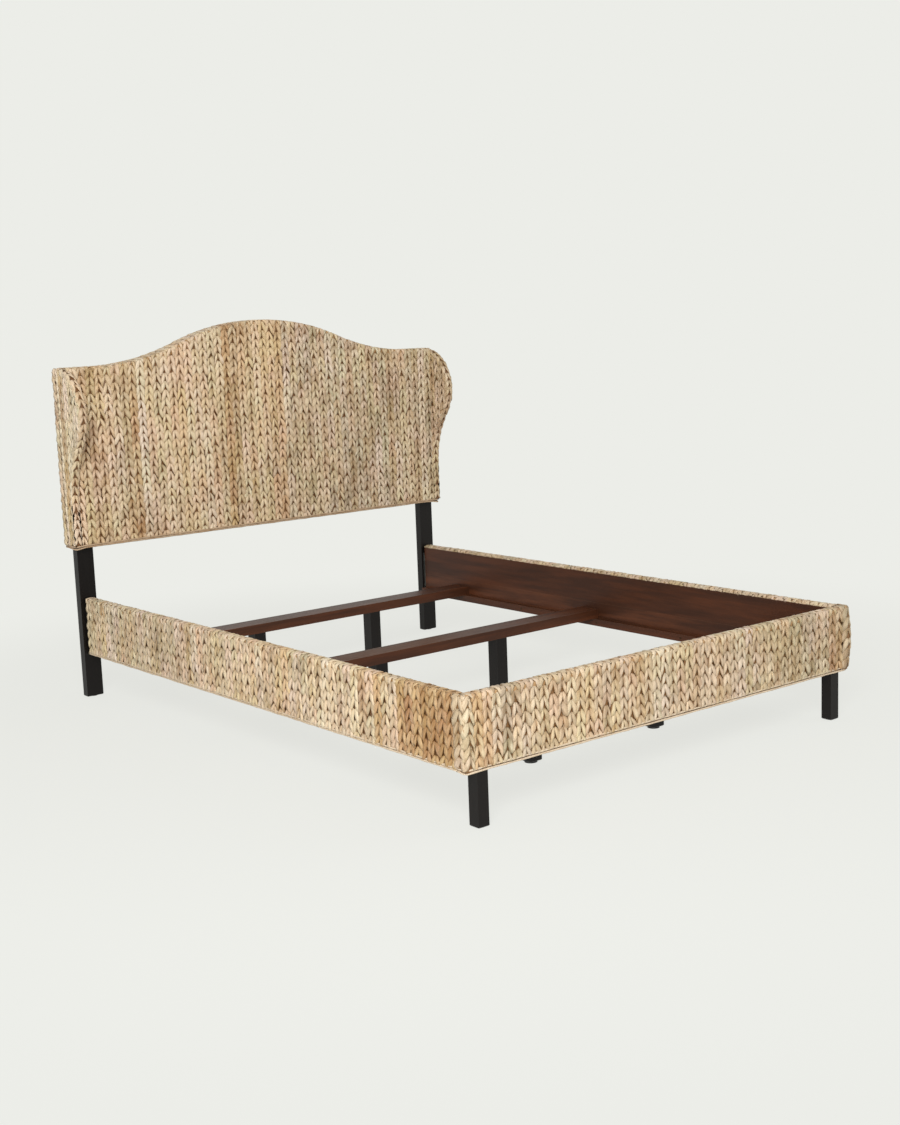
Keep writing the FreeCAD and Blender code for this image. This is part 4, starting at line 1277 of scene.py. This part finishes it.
class WeaveWings(bpy.types.Operator):
    """Plait the covers of the two wings: both faces and the curved front edge"""

    bl_idname = "bed.weave_wings"
    bl_label = "Wing weave"

    def execute(self, context):
        weave = context.scene.bed_weave
        inner_back = PANEL_LOW.y + weave.corner_overlap
        for number, (side, sign) in enumerate(SIDES):
            weaver = Weaver(weave, weave.head_stitch, WING_DRAW + number, WING_STRETCHES[side])
            edge, length = wing_edge_surface(sign)
            weaver.lay(edge, 0.0, 0.0, length, EDGE_PLAIT_WIDENING, bent=True)
            self.plait_face(weaver, sign * WING_HIGH.x, sign, WING_HIGH.y)
            self.plait_face(weaver, sign * WING_LOW.x, -sign, inner_back)
            weaver.finish("wing_weave_" + side, ["wing_cover_" + side])
        return {"FINISHED"}

    def plait_face(self, weaver, x, facing, back):
        """Upright plaits on one face, from its back to the plait that follows the edge."""
        inset = WING_CORNER - FACE_OVERLAP
        surface = wing_face_surface(x, facing, inset)
        width = weaver.plait_width
        y = back - width / 2
        while span := wing_span(y + width * FACE_ROOM_SHARE, inset):
            if span[1] - span[0] > weaver.stitch:
                weaver.lay(surface, facing * y, *span)
            y -= width


class WeaveRails(bpy.types.Operator):
    """Plait the covers of the two side rails, up the outside and over the top edge"""

    bl_idname = "bed.weave_rails"
    bl_label = "Rail weave"

    def execute(self, context):
        weave = context.scene.bed_weave
        places, step = even_places(RAIL_LOW.y, RAIL_HIGH.y, weave.rail_plait_width)
        height = RAIL_HIGH.z - RAIL_LOW.z
        for number, (side, sign) in enumerate(SIDES):
            surface, length = rail_surface(sign, weave)
            weaver = Weaver(weave, weave.rail_stitch, RAIL_DRAW + number, RAIL_STRETCHES[side], step)
            for place in places:
                weaver.lay(surface, sign * place, -weave.cord_overlap, length, edge_at=height)
            weaver.finish("rail_weave_" + side, ["rail_cover_" + side])
        return {"FINISHED"}


class WeaveFootboard(bpy.types.Operator):
    """Plait the cover of the footboard round its ends and over its top edge"""

    bl_idname = "bed.weave_footboard"
    bl_label = "Footboard weave"

    def execute(self, context):
        weave = context.scene.bed_weave
        surface, reach, length, end_length = foot_surface(weave)
        places, step = even_places(-reach, reach, weave.plait_width)
        height = FOOT_HIGH.z - FOOT_LOW.z
        weaver = Weaver(weave, weave.rail_stitch, FOOT_DRAW, FOOT_STRETCHES, step)
        for middle in places:
            end = end_length if abs(middle) > FOOT_HIGH.x else length
            bent = abs(middle) > FOOT_HIGH.x - weave.plait_width
            weaver.lay(
                surface, middle, -weave.cord_overlap, end, bent=bent, edge_at=height, relief=FOOT_RELIEF
            )
        weaver.finish("foot_weave", ["foot_cover"])
        return {"FINISHED"}


class TrimCords(bpy.types.Operator):
    """Lay the twisted cords along the lower edges of the headboard, rails and footboard"""

    bl_idname = "bed.trim_cords"
    bl_label = "Trim cords"

    def execute(self, context):
        trim = context.scene.bed_trim
        inset = trim.strand_radius * CORD_INSET_SHARE
        level = (RAIL_CORD_LOW.z + RAIL_CORD_HIGH.z) / 2
        for number, (side, sign) in enumerate(SIDES):
            x = sign * (RAIL_CORD_HIGH.x - inset)
            ends = [(x, RAIL_CORD_LOW.y, level), (x, RAIL_CORD_HIGH.y, level)]
            add_cord(trim, "rail_trim_" + side, "rail_cord_" + side, ends[::sign], number, PALE_SHADE)
        route = round_front(FOOT_CORD_LOW, FOOT_CORD_HIGH, inset)
        add_cord(
            trim, "foot_trim", "foot_cord", route, FOOT_CORD_DRAW, PALE_SHADE, TRIM_CORNER, trim.foot_sag
        )
        for side, sign in SIDES:
            self.close_seam(trim, side, sign)
        route = round_front(HEAD_CORD_LOW, HEAD_CORD_HIGH, inset)
        add_cord(
            trim,
            "headboard_trim",
            "headboard_cord",
            route,
            HEAD_CORD_DRAW,
            HEAD_SHADE,
            TRIM_CORNER,
            trim.wing_sag,
        )
        return {"FINISHED"}

    def close_seam(self, trim, side, sign):
        """Upright threads where the footboard's cover meets a rail's."""
        x = sign * (FOOT_HIGH.x - trim.seam_radius)
        bm = new_cords()
        for number in range(SEAM_THREADS):
            y = FOOT_HIGH.y + (number - SEAM_THREADS / 2) * trim.seam_step
            line = rounded_route([(x, y, FOOT_LOW.z), (x, y, FOOT_HIGH.z - FOOT_CORNER)], 0.0)
            face = Vector((sign, 0, 0))
            lay_thread(bm, trim, trim.seam_radius, line, face, 0.0, SEAM_DRAW + number, SEAM_SHADE)
        new_piece("foot_seam_" + side, bm, cord_material(), [])


class FinishBoards(bpy.types.Operator):
    """Stain the planks, slats, cleats and panels, each with its grain along it"""

    bl_idname = "bed.finish_boards"
    bl_label = "Stained boards"

    def execute(self, context):
        boards = context.scene.bed_boards
        grain = {"dark": boards.stain_dark, "worn": boards.worn}
        stain = {**grain, "wear": 0.5, "roughness": 0.42, "bump": 0.25}
        sheet = {**grain, "wear": 0.4, "roughness": 0.55, "bump": 0.2}
        along = wood_material("stained_along", "Y", boards.stain, **stain)
        lower = wood_material("stained_lower", "Y", boards.lower, **stain)
        across = wood_material("stained_across", "X", boards.stain, **stain)
        upright = wood_material("stained_upright", "Z", boards.stain, **stain)
        panel = wood_material("stained_panel", "X", boards.panel, **sheet)
        paint(along, "rail_upper", "rail_cleat")
        paint(lower, "rail_lower")
        paint(across, "slat_foot", "slat_middle", "slat_head", "foot_upper", "foot_lower")
        paint(across, "headboard_bottom", "headboard_top")
        paint(upright, "headboard_centre", "headboard_side")
        paint(panel, "headboard_panel", "headboard_back", "wing_board")
        return {"FINISHED"}


class FinishLegs(bpy.types.Operator):
    """Paint the legs black and finish the fittings and glides"""

    bl_idname = "bed.finish_legs"
    bl_label = "Legs and fittings"

    def execute(self, context):
        legs = context.scene.bed_legs
        finish = {"dark": legs.black, "worn": legs.black_worn, "wear": 0.7, "roughness": 0.4, "bump": 0.16}
        black = wood_material("black_legs", "Z", legs.black, **finish)
        zinc = steel_material("zinc_plate", legs.zinc, legs.spangle)
        browned = steel_material("browned_steel", legs.browned, legs.spangle)
        paint(black, "front_leg_left", "front_leg_right", "head_leg_left", "head_leg_right")
        paint(black, "support_leg_foot", "support_leg_middle", "support_leg_head")
        paint(zinc, "corner_bracket", "corner_bolts", "rail_hook", "leg_catch", "head_leg_bolts")
        paint(zinc, "support_leg_studs", "front_leg_studs", "front_leg_plates")
        paint(browned, "cleat_screws", "slat_screws")
        paint(plastic_material(legs), "levelling_glide", "main_leg_glides")
        return {"FINISHED"}


class SetStage(bpy.types.Operator):
    """Set the camera, the lamps, the sky and the floor"""

    bl_idname = "bed.set_stage"
    bl_label = "Stage"

    def execute(self, context):
        scene = context.scene
        stage = scene.bed_stage
        scene.view_settings.view_transform = "Standard"
        self.set_camera(scene, stage)
        self.set_sky(scene, stage)
        self.set_floor(scene, stage)
        self.add_lamp(scene, "key_lamp", stage.key_power, stage.key_size, stage.key_place)
        self.add_lamp(scene, "fill_lamp", stage.fill_power, stage.fill_size, stage.fill_place)
        return {"FINISHED"}

    def set_camera(self, scene, stage):
        yaw, pitch, roll = stage.camera_yaw, stage.camera_pitch, stage.camera_roll
        flat = math.cos(pitch)
        ahead = Vector((math.sin(yaw) * flat, math.cos(yaw) * flat, -math.sin(pitch)))
        level = Vector((math.cos(yaw), -math.sin(yaw), 0.0))
        below = ahead.cross(level)
        right = level * math.cos(roll) + below * math.sin(roll)
        down = below * math.cos(roll) - level * math.sin(roll)
        data = bpy.data.cameras.new("camera")
        data.lens = stage.camera_lens
        camera = bpy.data.objects.new("camera", data)
        turned = Matrix((right, -down, -ahead)).transposed().to_4x4()
        camera.matrix_world = Matrix.Translation(stage.camera_place) @ turned
        scene.collection.objects.link(camera)
        scene.camera = camera

    def set_sky(self, scene, stage):
        """Soft light all round, with a plain backdrop where it is seen."""
        scene.world = bpy.data.worlds.new("studio")
        scene.world.use_nodes = True
        tree = scene.world.node_tree
        soft = tree.nodes["Background"]
        set_inputs(tree, soft, {"Color": stage.sky, "Strength": stage.sky_strength})
        plain = add_node(tree, "Background", {"Color": stage.background, "Strength": 1.0})
        mix_shaders(tree, seen_ray(tree), soft, plain, tree.nodes["World Output"])

    def set_floor(self, scene, stage):
        """A wide floor that is faintly shaded under the bed and as plain as the backdrop further out."""
        bm = bmesh.new()
        bmesh.ops.create_grid(bm, x_segments=1, y_segments=1, size=stage.floor_size)
        mesh = bpy.data.meshes.new("floor")
        bm.to_mesh(mesh)
        bm.free()
        material, tree, shader = new_material("pale_floor")
        matt = {"Base Color": stage.background, "Roughness": 0.9, "Specular IOR Level": 0.1}
        set_inputs(tree, shader, matt)
        plain = add_node(tree, "Emission", {"Color": stage.background, "Strength": 1.0})
        away = add_node(tree, "VectorMath", {0: object_place(tree)}, operation="LENGTH").outputs["Value"]
        near_to_far = (stage.floor_near, stage.floor_far)
        shaded = (1 - stage.floor_shade, 1.0)
        fade = map_range(tree, away, near_to_far, shaded, interpolation_type="SMOOTHSTEP")
        factor = math_node(tree, "MULTIPLY", seen_ray(tree), fade)
        mix_shaders(tree, factor, shader, plain, tree.nodes["Material Output"])
        mesh.materials.append(material)
        floor = bpy.data.objects.new("floor", mesh)
        scene.collection.objects.link(floor)

    def add_lamp(self, scene, name, power, size, place):
        """A square lamp that points at the stage's aim."""
        data = bpy.data.lights.new(name, "AREA")
        data.energy = power
        data.size = size
        lamp = bpy.data.objects.new(name, data)
        lamp.location = place
        to_aim = Vector(scene.bed_stage.aim) - Vector(place)
        lamp.rotation_euler = to_aim.to_track_quat("-Z", "Y").to_euler()
        scene.collection.objects.link(lamp)


SETTINGS = (
    ("bed_weave", WeaveSettings),
    ("bed_trim", TrimSettings),
    ("bed_boards", BoardSettings),
    ("bed_legs", LegSettings),
    ("bed_stage", StageSettings),
)
OPERATORS = (
    WeaveHeadboard,
    WeaveWings,
    WeaveRails,
    WeaveFootboard,
    TrimCords,
    FinishBoards,
    FinishLegs,
    SetStage,
)


class BedPanel(bpy.types.Panel):
    """Sizes, colours and steps of the woven bed"""

    bl_idname = "VIEW3D_PT_woven_bed"
    bl_label = "Woven bed"
    bl_space_type = "VIEW_3D"
    bl_region_type = "UI"
    bl_category = "Bed"

    def draw(self, context):
        layout = self.layout
        for name, settings in SETTINGS:
            box = layout.box()
            box.label(text=settings.__doc__)
            for value in settings.__annotations__:
                box.prop(getattr(context.scene, name), value)
        for operator in OPERATORS:
            layout.operator(operator.bl_idname)


def register():
    for name, settings in SETTINGS:
        bpy.utils.register_class(settings)
        setattr(bpy.types.Scene, name, PointerProperty(type=settings))
    for operator in OPERATORS:
        bpy.utils.register_class(operator)
    bpy.utils.register_class(BedPanel)


def unregister():
    bpy.utils.unregister_class(BedPanel)
    for operator in reversed(OPERATORS):
        bpy.utils.unregister_class(operator)
    for name, settings in reversed(SETTINGS):
        delattr(bpy.types.Scene, name)
        bpy.utils.unregister_class(settings)


def main():
    register()
    bpy.ops.bed.weave_headboard()
    bpy.ops.bed.weave_wings()
    bpy.ops.bed.weave_rails()
    bpy.ops.bed.weave_footboard()
    bpy.ops.bed.trim_cords()
    bpy.ops.bed.finish_boards()
    bpy.ops.bed.finish_legs()
    bpy.ops.bed.set_stage()


if __name__ == "__main__":
    main()
